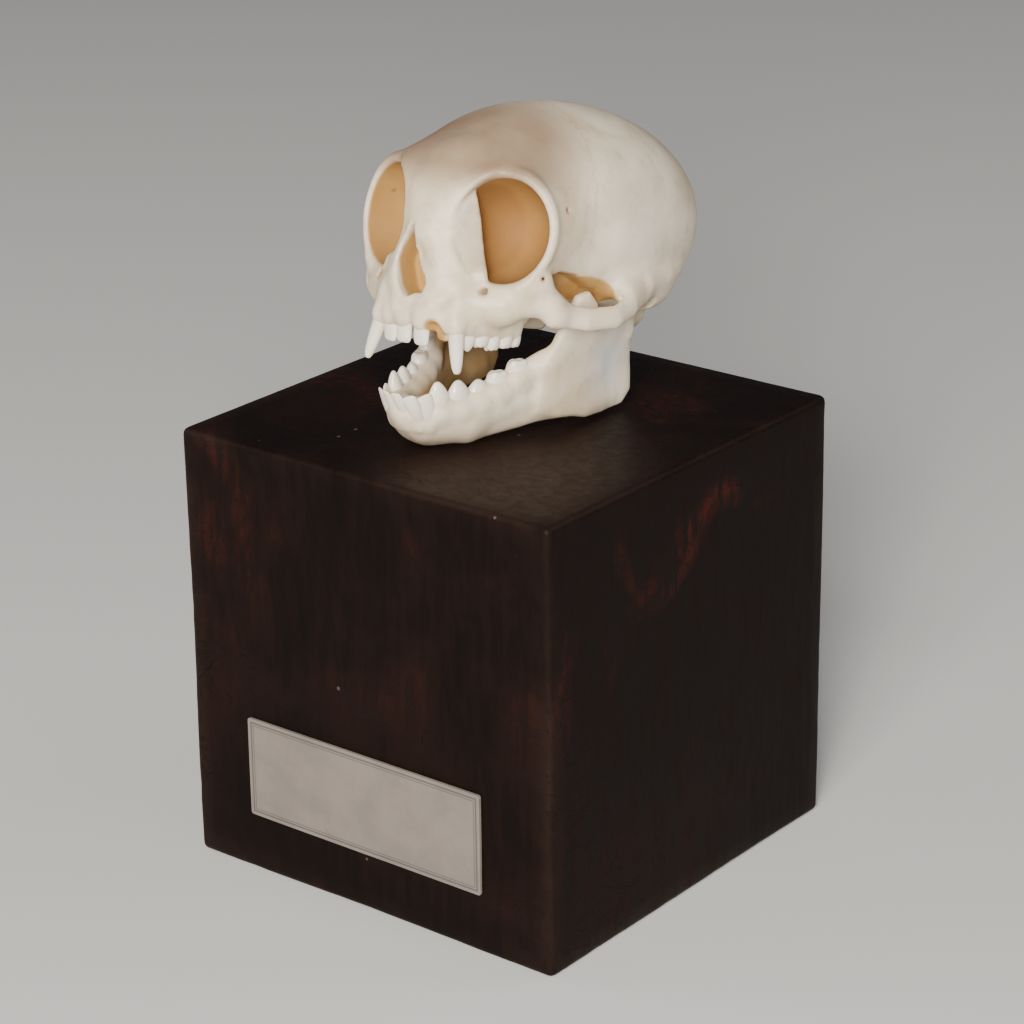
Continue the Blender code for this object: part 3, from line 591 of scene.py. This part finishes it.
# How each kind of tooth narrows from its neck to its tip: share of height, width and depth.
OUTLINES = {
    "incisor": (
        (0.0, 0.88, 1.0), (0.3, 0.98, 0.95), (0.6, 1.0, 0.74), (0.85, 0.98, 0.46), (1.0, 0.78, 0.2)),
    "canine": (
        (0.0, 1.05, 1.0), (0.25, 0.96, 0.98), (0.55, 0.84, 0.86), (0.85, 0.68, 0.68), (1.0, 0.4, 0.36)),
    "premolar": (
        (0.0, 1.0, 0.95), (0.25, 1.04, 1.0), (0.5, 0.98, 0.88), (0.78, 0.68, 0.6), (1.0, 0.24, 0.22)),
    "molar": (
        (0.0, 1.0, 0.95), (0.3, 1.04, 1.02), (0.6, 1.0, 0.98), (0.84, 0.84, 0.8), (0.92, 0.5, 0.5)),
}
# Each cusp of a crown: its place across and along it, and its rise, as shares of its size.
CUSPS = {
    "molar": ((-0.27, -0.26, 0.34), (0.25, -0.26, 0.3), (-0.24, 0.27, 0.24), (0.24, 0.25, 0.2)),
    "premolar": (),
    "canine": (),
    "incisor": (),
}


def crown(bm, shade, neck, tip, lean, wide, deep, root, kind):
    """Adds one tooth: rings drawn out from a circle at the root and closed over the crown."""
    axis = tip - neck
    height = axis.length
    axis.normalize()
    widthwise = Vector((cos(radians(lean)), sin(radians(lean)), 0.0))
    widthwise = (widthwise - axis * widthwise.dot(axis)).normalized()
    place = Matrix((widthwise, axis.cross(widthwise), axis)).transposed().to_4x4()
    place.translation = neck
    rows = [(-root, 0.45, 0.5), (-root * 0.45, 0.8, 0.85)]
    rows += [(t * height, w, d) for t, w, d in OUTLINES[kind]]
    made = bmesh.ops.create_circle(bm, cap_ends=True, radius=0.5, segments=SIDES)["verts"]
    bmesh.ops.scale(bm, verts=made, vec=(wide * rows[0][1], deep * rows[0][2], 1.0))
    bmesh.ops.translate(bm, verts=made, vec=(0.0, 0.0, rows[0][0]))
    every = list(made)
    ring = [e for e in bm.edges if e.verts[0] in set(made) and e.verts[1] in set(made)]
    before = rows[0]
    for row in rows[1:]:
        grown = bmesh.ops.extrude_edge_only(bm, edges=ring)["geom"]
        fresh = [g for g in grown if isinstance(g, bmesh.types.BMVert)]
        ring = [g for g in grown if isinstance(g, bmesh.types.BMEdge)]
        bmesh.ops.scale(bm, verts=fresh, vec=(row[1] / before[1], row[2] / before[2], 1.0))
        bmesh.ops.translate(bm, verts=fresh, vec=(0.0, 0.0, row[0] - before[0]))
        every += fresh
        before = row
    lid = bmesh.ops.contextual_create(bm, geom=ring)["faces"]
    poked = bmesh.ops.poke(bm, faces=lid)["verts"]
    every += poked
    for v in every:
        for cx, cy, rise in CUSPS[kind]:
            off = ((v.co.x / wide - cx) ** 2 + (v.co.y / deep - cy) ** 2) / 0.045
            v.co.z += rise * height * np.exp(-off) * step_up(v.co.z / height, 0.3, 0.85)
        v[shade] = float(step_up(v.co.z / height, 0.6, 0.0))
        v.co = (place @ v.co) * MM


def tooth_row(name, teeth, node_name):
    """All the teeth of one jaw as one piece."""
    bm = bmesh.new()
    shade = bm.verts.layers.float.new("neck")
    for tooth in teeth:
        crown(bm, shade, *tooth)
    bmesh.ops.recalc_face_normals(bm, faces=bm.faces)
    piece = finished(name, mesh_from(name, bm), enamel, node_name)
    rounder = piece.modifiers.new("rounder", "SUBSURF")
    rounder.levels = 2
    rounder.render_levels = 2


enamel, tree, shader = finish_of("enamel", 0.2)
place = stretched(tree)
cloudy = cloud(tree, place, 700.0, 4.0, 0.55)
tone = mixed(tree, between(tree, cloudy, 0.35, 0.7, 0.0, 0.5), ENAMEL, ENAMEL_PALE)
# Partly painted shade: each tooth darkens towards its neck to the root's tone, for the shade where it
# meets the bone.
tone = mixed(tree, times(tree, stored(tree, "neck"), 0.7), tone, ROOT_TONE_AND_NECK_SHADE)
tree.links.new(tone, shader.inputs["Base Color"])
tree.links.new(between(tree, cloudy, 0.3, 0.7, 0.14, 0.28), shader.inputs["Roughness"])
shader.inputs["Subsurface Weight"].default_value = 0.15
shader.inputs["Subsurface Radius"].default_value = (1.0, 0.75, 0.5)
shader.inputs["Subsurface Scale"].default_value = 0.6 * MM
raised(tree, shader, cloud(tree, place, 1500.0, 3.0, 0.6), 0.03 * MM, 0.4)

lower = []
for sign in (1, -1):
    for kind, x, y, z, tall, wide, deep, forward, lean in LOWER.values():
        neck = Vector((sign * x * 0.98, y + forward, z - tall))
        lower.append((neck, Vector((sign * x, y, z)), lean * sign, wide, deep, LOWER_ROOT, kind))
tooth_row("lower_teeth", lower, "mandible")

# The cranium: braincase, face and cheek arches grown into one thin bone, with cup-shaped eye
# sockets closed at the back. It rests tipped back on the lower jaw, leaning a little to its
# right. The nose opening is ragged, and its edge has broken away on the right.
CRANIUM_STEP = 0.25
CRANIUM_AT = (0.45, -17.66, 64.83)
CRANIUM_PITCH = -18.0
CRANIUM_ROLL = -2.5
BRAINCASE_AT = (0.0, 22.4, 12.8)
BRAINCASE_RADII = (13.1, 20.9, 12.2)
BRAINCASE_TILT = 3.3
BASE_LEVEL = 3.2
FOREHEAD_TILT = 33.4
FOREHEAD_OUT = 16.06
ORBIT_AT = (7.4, 4.86, 10.6)
ORBIT_TURN = 21.5
ORBIT_WIDE = 4.85
ORBIT_HIGH = 5.33
ORBIT_DEEP = 8.5
ORBIT_RIM = 0.05
# The bone on the nose side of each eye socket slopes back to an upright crest.
PLATE_EDGE = -2.73
PLATE_LEAN = -0.26
PLATE_BOW = 0.024
PLATE_RISE = 1.1
PLATE_SLOPE = 1.25
PLATE_STEEP = 1.6
PLATE_FOOT = (-5.2, -1.5)
CREST_DEPTH = 2.1
UNDERCUT = 0.34
NOSE_OPENING = [
    (-0.8, 10.3), (-1.6, 9.0), (-2.5, 7.6), (-2.9, 6.3), (-2.5, 5.0), (-1.9, 3.6), (-0.9, 2.5),
    (0.2, 3.1), (1.3, 3.2), (1.6, 4.2), (1.1, 5.0), (0.4, 5.6), (-0.3, 6.4), (-0.6, 7.6), (-0.4, 9.2)]
NOSE_DEPTH = 4.6
# Each upper tooth: its kind, x and y of the neck, reach, width, depth, lean outwards and back,
# and the turn of the tooth row there.
UPPER = {
    "incisor_1": ("incisor", 1.14, 2.0, 2.7, 2.0, 1.5, 0.0, 0.3, 0),
    "incisor_2": ("incisor", 3.05, 2.3, 2.8, 2.05, 1.4, 0.1, 0.3, 12),
    "canine": ("canine", 4.8, 2.9, 5.0, 1.8, 1.7, 0.65, 0.5, 45),
    "premolar_2": ("premolar", 5.1, 4.7, 2.6, 2.0, 1.5, 0.15, 0.1, 72),
    "premolar_3": ("molar", 5.6, 6.2, 1.9, 2.0, 1.7, 0.1, 0.1, 76),
    "premolar_4": ("molar", 5.9, 7.7, 2.1, 1.9, 1.8, 0.1, 0.1, 80),
    "molar_1": ("molar", 6.1, 9.3, 1.8, 2.2, 2.1, 0.1, 0.1, 86),
    "molar_2": ("molar", 6.1, 10.9, 1.6, 1.8, 1.9, 0.1, 0.1, 92),
}
TEMPLE_PIT = [
    (9.8, 6.7), (11.2, 7.2), (14.0, 7.1), (16.9, 6.2), (19.6, 5.1), (20.2, 1.0), (9.8, 1.0)]
TEMPLE_WALL = 8.5
TEMPLE_FLARE = 0.7
TEMPLE_FRONT = 12.3
CROWN_SEAM_AT = 18.0
NAPE_SEAM_AT = 36.0
NERVE_HOLES = (
    [(6.7, 1.8, 4.15, 0.36), (6.9, 5.2, 4.3, 0.3)],
    [(15.5, 8.2, 13.6, 0.24), (10.8, 10.2, 13.6, 0.22)],
    [(12.8, 5.8, 6.3, 0.22), (10.6, 8.6, 6.5, 0.2)])

turn = (
    Matrix.Rotation(radians(CRANIUM_PITCH), 3, "X") @ Matrix.Rotation(radians(CRANIUM_ROLL), 3, "Y"))
CRANIUM_TURN = np.array(turn)
orbit_turn = radians(ORBIT_TURN)
ORBIT_OUT = (sin(orbit_turn), -cos(orbit_turn), 0.0)
ORBIT_ACROSS = (cos(orbit_turn), sin(orbit_turn), 0.0)
ORBIT_FRAME = np.array([ORBIT_ACROSS, ORBIT_OUT, (0.0, 0.0, 1.0)]).T


def along(p, at, direction):
    """How far a point lies from a place, along a direction."""
    return sum(direction[i] * (p[i] - at[i]) for i in range(3))


def plane_above(p, level_front, level_back, y_front, y_back):
    """Negative above a straight line drawn in the side view."""
    slope = (level_back - level_front) / (y_back - y_front)
    return (level_front + (p[1] - y_front) * slope - p[2]) / np.sqrt(1.0 + slope * slope)


def spun(degrees, axis):
    """The axes of a piece turned about one of them."""
    return np.array(Matrix.Rotation(radians(degrees), 3, axis))


def orbit_cup(p):
    """The hollow of the eye socket: a deep bowl behind the rim, straight in front of it."""
    ahead = np.maximum(along(p, ORBIT_AT, ORBIT_OUT), 0.0)
    held = [p[i] - ORBIT_OUT[i] * ahead for i in range(3)]
    return ellipsoid(held, ORBIT_AT, (ORBIT_WIDE, ORBIT_DEEP, ORBIT_HIGH), ORBIT_FRAME), held


def crest_side(p):
    """Negative on the nose side of the upright crest inside the eye socket."""
    depth = along(p, ORBIT_AT, ORBIT_OUT)
    inward = along(p, ORBIT_AT, ORBIT_ACROSS)
    rise = p[2] - ORBIT_AT[2]
    bow = PLATE_BOW * np.maximum(rise, 0.0) ** 2
    return inward - PLATE_EDGE - PLATE_LEAN * rise + bow - UNDERCUT * (depth + CREST_DEPTH)


def nose_side_plate(p):
    """The sloping bone between the nose side of the socket's edge and its inner crest."""
    rise = p[2] - ORBIT_AT[2]
    inward = along(p, ORBIT_AT, ORBIT_ACROSS) + ORBIT_WIDE
    slope = PLATE_SLOPE * inward * step_up(rise, *PLATE_FOOT)
    level = (along(p, ORBIT_AT, ORBIT_OUT) + slope - PLATE_RISE) / PLATE_STEEP
    return np.maximum(crest_side(p), level)


def temple_pit(p):
    """The deep pit between the braincase and the cheek arch."""
    wall = TEMPLE_WALL + TEMPLE_FLARE * np.maximum(TEMPLE_FRONT - p[1], 0.0)
    return np.maximum(outline_2d(p[1], p[2], TEMPLE_PIT), wall - p[0])


def socket_field(p):
    """The empty socket of the lost tooth, broken open at the front."""
    return limb(p, [(3.0, 1.3, -0.3, 0.78), (3.0, 1.3, -2.0, 0.9)], (1.0, 0.5, 1.0))


def cranium_field(p):
    """Left half of the cranium's bone, in its own frame."""
    shape = ellipsoid(p, BRAINCASE_AT, BRAINCASE_RADII, spun(BRAINCASE_TILT, "X"))
    shape = -soft_union(-shape, -plane_above(p, BASE_LEVEL, BASE_LEVEL + 0.2, 10.0, 36.0), 2.5)
    shape = -soft_union(-shape, -plane_above(p, 4.4, 11.2, 31.5, 41.5), 1.6)
    tilt = radians(FOREHEAD_TILT)
    forehead = along(p, BRAINCASE_AT, (0.0, -sin(tilt), cos(tilt))) - FOREHEAD_OUT
    shape = -soft_union(-shape, -forehead, 3.0)
    shape = carve(shape, ellipsoid(p, (17.0, 14.4, 11.0), (4.0, 3.8, 6.0)), 2.8)
    forward = along(p, ORBIT_AT, ORBIT_OUT)
    bulb_at = [ORBIT_AT[i] - 2.6 * ORBIT_OUT[i] for i in range(3)]
    bulb = ellipsoid(p, bulb_at, (ORBIT_WIDE + 0.75, 6.6, ORBIT_HIGH + 0.75), ORBIT_FRAME)
    u = along(p, ORBIT_AT, ORBIT_ACROSS) / (ORBIT_WIDE + 0.4)
    v = (p[2] - ORBIT_AT[2]) / (ORBIT_HIGH + 0.4)
    front_level = 0.1 - 0.9 * step_up(u, -0.3, -1.0)
    shape = soft_union(shape, -soft_union(-bulb, -(forward - front_level), 0.8), 4.0)
    shape = carve(shape, temple_pit(p), 0.25)
    off = (np.sqrt(u * u + v * v) - 1.0) * (ORBIT_WIDE + ORBIT_HIGH + 0.8) * 0.5
    thick = ORBIT_RIM - 1.6 * step_up(u + 0.2 * v, 0.6, -0.1)
    rim = np.sqrt(off * off + forward ** 2) - thick
    shape = soft_union(shape, rim, 2.2)
    nose = limb(p, [
        (0.0, 1.5, 9.3, 0.9), (0.0, 2.8, 11.0, 1.5), (0.0, 4.4, 13.6, 1.9), (0.0, 6.1, 16.2, 2.4)])
    shape = soft_union(shape, nose, 2.6)
    shape = soft_union(shape, ellipsoid(p, (0.0, 7.0, 4.2), (5.5, 6.2, 4.2)), 1.6)
    nose_wall = limb(p, [
        (1.6, 1.9, 1.4, 1.1), (2.6, 2.2, 4.6, 1.05), (2.0, 2.2, 7.4, 1.0), (0.9, 1.9, 9.2, 0.8)])
    shape = soft_union(shape, nose_wall, 1.2)
    bridge = limb(p, [(1.5, 2.9, 7.8, 1.2), (1.3, 3.6, 10.5, 1.25), (1.3, 4.8, 14.0, 1.35)])
    shape = soft_union(shape, bridge, 1.2)
    beside_nose = limb(p, [(3.9, 3.4, 2.2, 1.4), (3.6, 3.6, 5.6, 1.3), (2.9, 3.5, 8.8, 0.9)])
    shape = soft_union(shape, beside_nose, 1.4)
    alveolar = limb(p, [
        (0.0, 2.4, 1.3, 1.2), (2.0, 2.4, 1.3, 1.2), (4.0, 2.9, 1.3, 1.25), (4.9, 4.1, 1.3, 1.3),
        (5.5, 6.2, 1.5, 1.35), (5.9, 8.4, 1.6, 1.4), (6.0, 10.4, 1.8, 1.4), (5.9, 11.8, 2.2, 1.2)])
    shape = soft_union(shape, alveolar, 1.0)
    root_ridge = limb(p, [(4.9, 2.8, 0.4, 0.9), (4.6, 3.0, 3.0, 0.85), (4.2, 3.3, 5.2, 0.5)])
    shape = soft_union(shape, root_ridge, 0.6)
    cheek = limb(p, [(6.0, 6.2, 3.6, 1.9), (8.6, 7.6, 3.8, 1.8), (10.8, 9.6, 3.9, 1.5)])
    shape = soft_union(shape, cheek, 1.4)
    shape = soft_union(shape, limb(p, [(5.3, 4.7, 3.0, 1.6), (7.6, 6.4, 2.9, 1.9)]), 1.4)
    cheek_bar = limb(p, [
        (9.4, 6.9, 4.9, 1.2), (11.0, 8.0, 6.0, 1.2), (11.2, 8.8, 4.6, 1.0), (11.7, 10.2, 2.9, 1.1)])
    shape = soft_union(shape, cheek_bar, 1.0)
    arch = limb(p, [
        (11.8, 10.6, 3.0, 1.25), (13.2, 14.0, 2.8, 1.25), (14.0, 17.6, 3.4, 1.25),
        (13.5, 20.5, 4.5, 1.2), (12.3, 23.6, 6.1, 1.1)], (1.9, 1.0, 1.0))
    shape = soft_union(shape, arch, 1.3)
    arch_root = limb(p, [
        (12.0, 20.8, 6.2, 0.6), (11.3, 24.0, 6.9, 1.0), (10.2, 27.0, 7.4, 1.4), (9.2, 30.5, 8.4, 1.6)])
    shape = soft_union(shape, arch_root, 2.8)
    crest = limb(p, [
        (12.4, 24.5, 7.2, 0.6), (11.7, 29.0, 8.4, 0.6), (10.0, 33.4, 9.4, 0.5),
        (6.0, 38.6, 10.8, 0.4), (0.0, 41.0, 11.6, 0.5)])
    shape = soft_union(shape, crest, 1.2)
    shape = soft_union(shape, ellipsoid(p, (9.6, 28.0, 6.6), (1.9, 3.6, 2.1)), 2.0)
    base_bar = limb(p, [(0.0, 16.0, 3.6, 1.2), (0.0, 24.0, 3.4, 1.6), (0.0, 31.5, 4.2, 1.5)])
    shape = soft_union(shape, base_bar, 1.6)
    shape = soft_union(shape, ellipsoid(p, (5.9, 28.6, 3.9), (2.5, 4.0, 2.5), spun(-14, "Z")), 0.7)
    shape = soft_union(shape, ellipsoid(p, (2.9, 36.2, 4.9), (1.1, 2.0, 1.2), spun(25, "Z")), 0.5)
    wing = limb(p, [
        (3.4, 13.6, 2.4, 1.3), (3.6, 16.4, 1.8, 1.2), (3.5, 19.2, 1.7, 1.0),
        (3.3, 20.0, 3.6, 1.0)], (2.4, 1.0, 1.0))
    shape = soft_union(shape, wing, 0.5)
    shape = soft_union(shape, limb(p, [(3.4, 14.0, 3.8, 1.2), (3.3, 19.6, 4.2, 1.2)]), 1.0)
    cup, held = orbit_cup(p)
    trim_at = [ORBIT_AT[i] + 1.6 * ORBIT_ACROSS[i] for i in range(2)] + [ORBIT_AT[2] + 0.9]
    around = ellipsoid(held, trim_at, (ORBIT_WIDE - 0.1, 3.0, ORBIT_HIGH + 0.3), ORBIT_FRAME)
    shape = carve(shape, -soft_union(-around, forward - 0.3, 0.4), 1.0)
    shape = carve(shape, np.maximum(cup - 0.05, -nose_side_plate(p)), 0.45)
    palate = ellipsoid(p, (0.0, 8.0, -0.6), (4.5, 6.6, 2.2))
    shape = carve(shape, palate, 0.8)
    choana = limb(p, [
        (0.0, 13.2, 2.9, 1.5), (0.0, 15.4, 3.0, 1.7), (0.0, 19.0, 2.0, 1.9)], (0.72, 1.0, 1.0))
    shape = carve(shape, choana, 0.5)
    foramen = ellipsoid(p, (0.0, 38.2, 5.8), (2.5, 4.4, 2.3), spun(-40, "X"))
    shape = carve(shape, foramen, 0.4)
    shape = carve(shape, limb(p, [(12.6, 26.6, 4.8, 0.95), (8.6, 28.2, 5.2, 0.8)]), 0.3)
    slit = limb(p, [(13.2, 18.6, 5.2, 0.3), (13.0, 21.6, 5.8, 0.12)])
    shape = carve(shape, slit, 0.2)
    for kind, x, y, reach, wide, deep, outward, back, lean in UPPER.values():
        collar = ellipsoid(p, (x, y, 0.3), (max(wide, deep) * 0.5, wide * 0.55, 1.1))
        shape = soft_union(shape, collar, 0.8)
    for hole in NERVE_HOLES:
        shape = carve(shape, limb(p, hole), 0.12)
    return shape


cranium_low, cranium_high = (-16.5, -2.5, -3.0), (16.5, 45.5, 26.8)
cranium = both_sides(cranium_field(samples((0.0, *cranium_low[1:]), cranium_high, CRANIUM_STEP)))
p = samples(cranium_low, cranium_high, CRANIUM_STEP)
opening = outline_2d(p[0], p[2], NOSE_OPENING)
cranium = carve(cranium, np.maximum(opening, p[1] - NOSE_DEPTH), 0.2)
inner_wall = limb(p, [(3.0, 3.7, 1.0, 0.9), (3.0, 3.6, -0.8, 0.7)], (0.8, 1.0, 1.0))
cranium = soft_union(cranium, inner_wall, 0.3)
cranium = carve(cranium, socket_field(p), 0.15)
between_incisors = limb(p, [(0.0, -0.5, -0.1, 0.26), (0.0, 3.4, -0.1, 0.2)])
cranium = carve(cranium, between_incisors, 0.08)
row = [sum(CRANIUM_TURN[i][j] * p[j] for j in range(3)) + CRANIUM_AT[i] for i in range(3)]
cranium = -soft_union(-cranium, -(GAP + 0.05 - jaw_field([np.abs(row[0]), row[1], row[2]])), 0.3)
local_points, cranium_quads = skin(cranium, cranium_low, CRANIUM_STEP)
cranium_mesh = bone_surface(
    "cranium_bone", local_points @ CRANIUM_TURN.T + np.array(CRANIUM_AT), cranium_quads, 2)

placed, facing = points_of(cranium_mesh)
shifted = [placed[i] - CRANIUM_AT[i] for i in range(3)]
local = [sum(CRANIUM_TURN[j][i] * shifted[j] for j in range(3)) for i in range(3)]
half = [np.abs(local[0]), local[1], local[2]]
cup, held = orbit_cup(half)
depth = along(half, ORBIT_AT, ORBIT_OUT)
# Painted shade: the eye sockets, nose opening, temple pits, the pit behind the coronoid, the roof of
# the mouth and the empty socket get the tan of the hollows.
in_cup = step_up(cup, 0.45, 0.2) * step_up(depth, -0.12, -0.38)
cup_shade = in_cup * step_up(crest_side(half), -0.12, 0.02)
in_nose = step_up(outline_2d(local[0], local[2], NOSE_OPENING), 0.35, 0.1)
in_nose = in_nose * step_up(local[1], 1.5, 2.1) * step_up(local[1], 6.0, 5.4)
in_temple = step_up(temple_pit(half), 0.3, 0.08) * step_up(half[0], 12.6, 12.0)
in_mouth = step_up(ellipsoid(local, (0.0, 8.8, -0.6), (4.3, 5.6, 2.4)), 0.4, 0.0)
behind_coronoid = step_up(ellipsoid(half, (10.4, 16.6, 5.2), (2.2, 4.4, 1.9)), 0.3, 0.0)
in_socket = step_up(socket_field(local), 0.4, 0.1)
hollow_shade = np.maximum.reduce([
    cup_shade, in_nose, in_temple * 0.9, behind_coronoid, in_mouth * 0.75, in_socket])
give(cranium_mesh, "hollow_shade", hollow_shade)
# Partly painted shade: the tint over the brow and the top of the forehead is the bone's tan together
# with the shade of these surfaces, which turn away from the light. At the back of the skull it is only
# a tint.
brow = ellipsoid(half, (0.0, 4.5, 19.0), (11.0, 11.0, 6.5))
level = step_up(local[2], 12.5, 17.0)
nape = step_up(local[1], 33.0, 42.0) * 0.4
give(cranium_mesh, "blush_and_painted_shade", np.maximum(step_up(brow, 5.5, -2.0) * level, nape) * (1.0 - in_cup))
temple = np.exp(-(((local[1] - 21.0) / 8.0) ** 2 + ((local[2] - 13.0) / 6.0) ** 2))
give(cranium_mesh, "cool", temple * 0.35 * (1.0 - in_cup))
# Each dark mark in the eye sockets: its place, reach and strength. The last one is painted shade for a
# small hole in the right socket.
MARKS = (
    ((3.6, 11.9, 12.0), 0.9, 0.5), ((4.5, 12.8, 10.9), 1.1, 0.5), ((3.4, 11.4, 8.9), 1.3, 0.5),
    ((4.2, 12.4, 9.7), 1.2, 0.5), ((-10.33, 8.63, 12.98), 0.3, 0.9))
# Painted shade: the sockets' tan is darkened all over, and more on the nose side of the left socket,
# where its wall lies in shade.
marks_and_painted_shade = cup_shade * np.where(local[0] > 0.0, 0.38 + 0.3 * step_up(local[0], 5.0, 4.0), 0.3)
for at, reach, strength in MARKS:
    away = np.sqrt(sum((local[i] - at[i]) ** 2 for i in range(3)))
    away = away + 0.25 * np.sin(3.1 * local[2] + 2.0 * local[0]) * (reach > 0.5)
    marks_and_painted_shade = np.maximum(marks_and_painted_shade, cup_shade * step_up(away, reach * 1.4, reach * 0.5) * strength)
# Painted shade in the nerve holes.
for hole in NERVE_HOLES:
    marks_and_painted_shade = np.maximum(marks_and_painted_shade, step_up(limb(half, hole), 0.2, 0.0) * 0.6)
give(cranium_mesh, "marks_and_painted_shade", marks_and_painted_shade)
crown_seam = local[1] - CROWN_SEAM_AT + 0.3 * half[0]
nape_seam = NAPE_SEAM_AT - 0.35 * half[0] - local[1]
across_skull = np.minimum(crown_seam, nape_seam)
low_down = 1.0 - step_up(local[2], 9.0, 10.5)
give(cranium_mesh, "seam_across", across_skull + NO_SEAM * low_down)
give(cranium_mesh, "seam_along", local[0] + NO_SEAM * (1.0 - step_up(across_skull, -0.2, 0.2)))
finished("cranium_bone", cranium_mesh, bone_finish, "cranium")

# The upper teeth: enamel crowns like the lower ones, with two long canines. The left side
# incisor has been lost from its socket, and the right canine leans outwards.
UPPER_NECK = 0.5
UPPER_ROOT = 1.3
MISSING = {(1, "incisor_2")}
FLARED = {(-1, "canine"): (1.35, 0.1)}


def in_row(point):
    """A place on the cranium, as it rests on the jaw."""
    return turn @ Vector(point) + Vector(CRANIUM_AT)


upper = []
for sign in (1, -1):
    for place_name, (kind, x, y, reach, wide, deep, outward, back, lean) in UPPER.items():
        if (sign, place_name) in MISSING:
            continue
        outward, back = FLARED.get((sign, place_name), (outward, back))
        neck = in_row((sign * x, y, UPPER_NECK))
        tip = in_row((sign * (x + outward), y + back, UPPER_NECK - reach))
        upper.append((neck, tip, lean * sign, wide, deep, UPPER_ROOT, kind))
tooth_row("upper_teeth", upper, "cranium")

# The setting: a plain pale floor, a broad soft light above the camera's left, a small one beside
# the camera as in the photograph, two weak ones to the sides, and the photograph's camera.
FLOOR = (0.62, 0.61, 0.59)
CAMERA_TURN = 38.65
CAMERA_RISE = 21.29
CAMERA_ROLL = -0.747
CAMERA_LENS = 118.0
CAMERA_AWAY = (-0.0001, 0.0357, 0.379)
LOOK_AT = Vector((0.0, 0.0, 0.045))
STUDIO_TONE = (0.80, 0.82, 0.85)
STUDIO_LIGHT = 0.18
# Each lamp: its name, place, size, power and colour.
LIGHTS = (
    ("key", (0.30, -0.62, 0.46), 0.34, 6.5, (1.0, 0.955, 0.90)),
    ("front", (0.24, -0.36, 0.20), 0.10, 2.4, (1.0, 0.97, 0.93)),
    ("side", (-0.62, -0.30, 0.30), 0.45, 1.2, (1.0, 0.97, 0.94)),
    ("back", (0.45, 0.50, 0.55), 0.45, 1.3, (0.97, 0.98, 1.0)),
)
bm = bmesh.new()
bmesh.ops.create_grid(bm, x_segments=2, y_segments=2, size=3.0)
floor_mesh = mesh_from("floor", bm)
floor_finish, tree, shader = finish_of("pale_floor", 0.9)
shader.inputs["Base Color"].default_value = (*FLOOR, 1.0)
floor_mesh.materials.append(floor_finish)
floor = bpy.data.objects.new("floor", floor_mesh)
bpy.context.scene.collection.objects.link(floor)

for name, at, side, power, hue in LIGHTS:
    lamp = bpy.data.lights.new(name, "AREA")
    lamp.size = side
    lamp.energy = power
    lamp.color = hue
    lit = bpy.data.objects.new(name, lamp)
    lit.location = at
    lit.rotation_euler = (LOOK_AT - Vector(at)).to_track_quat("-Z", "Y").to_euler()
    bpy.context.scene.collection.objects.link(lit)

world = bpy.data.worlds.new("studio")
world.use_nodes = True
world.node_tree.nodes["Background"].inputs["Color"].default_value = (*STUDIO_TONE, 1.0)
world.node_tree.nodes["Background"].inputs["Strength"].default_value = STUDIO_LIGHT
bpy.context.scene.world = world

a, e = radians(CAMERA_TURN), radians(CAMERA_RISE)
back = Vector((sin(a) * cos(e), -cos(a) * cos(e), sin(e)))
level = Vector((0, 0, 1)).cross(back).normalized()
upward = back.cross(level)
r = radians(CAMERA_ROLL)
right = cos(r) * level + sin(r) * upward
above = cos(r) * upward - sin(r) * level
eye = back * CAMERA_AWAY[2] + right * CAMERA_AWAY[0] + above * CAMERA_AWAY[1]
camera_data = bpy.data.cameras.new("camera")
camera_data.lens = CAMERA_LENS
camera_data.sensor_width = 36.0
camera_data.clip_start = 0.01
camera = bpy.data.objects.new("camera", camera_data)
camera.matrix_world = Matrix((right, above, back)).transposed().to_4x4()
camera.location = eye
bpy.context.scene.collection.objects.link(camera)
bpy.context.scene.camera = camera
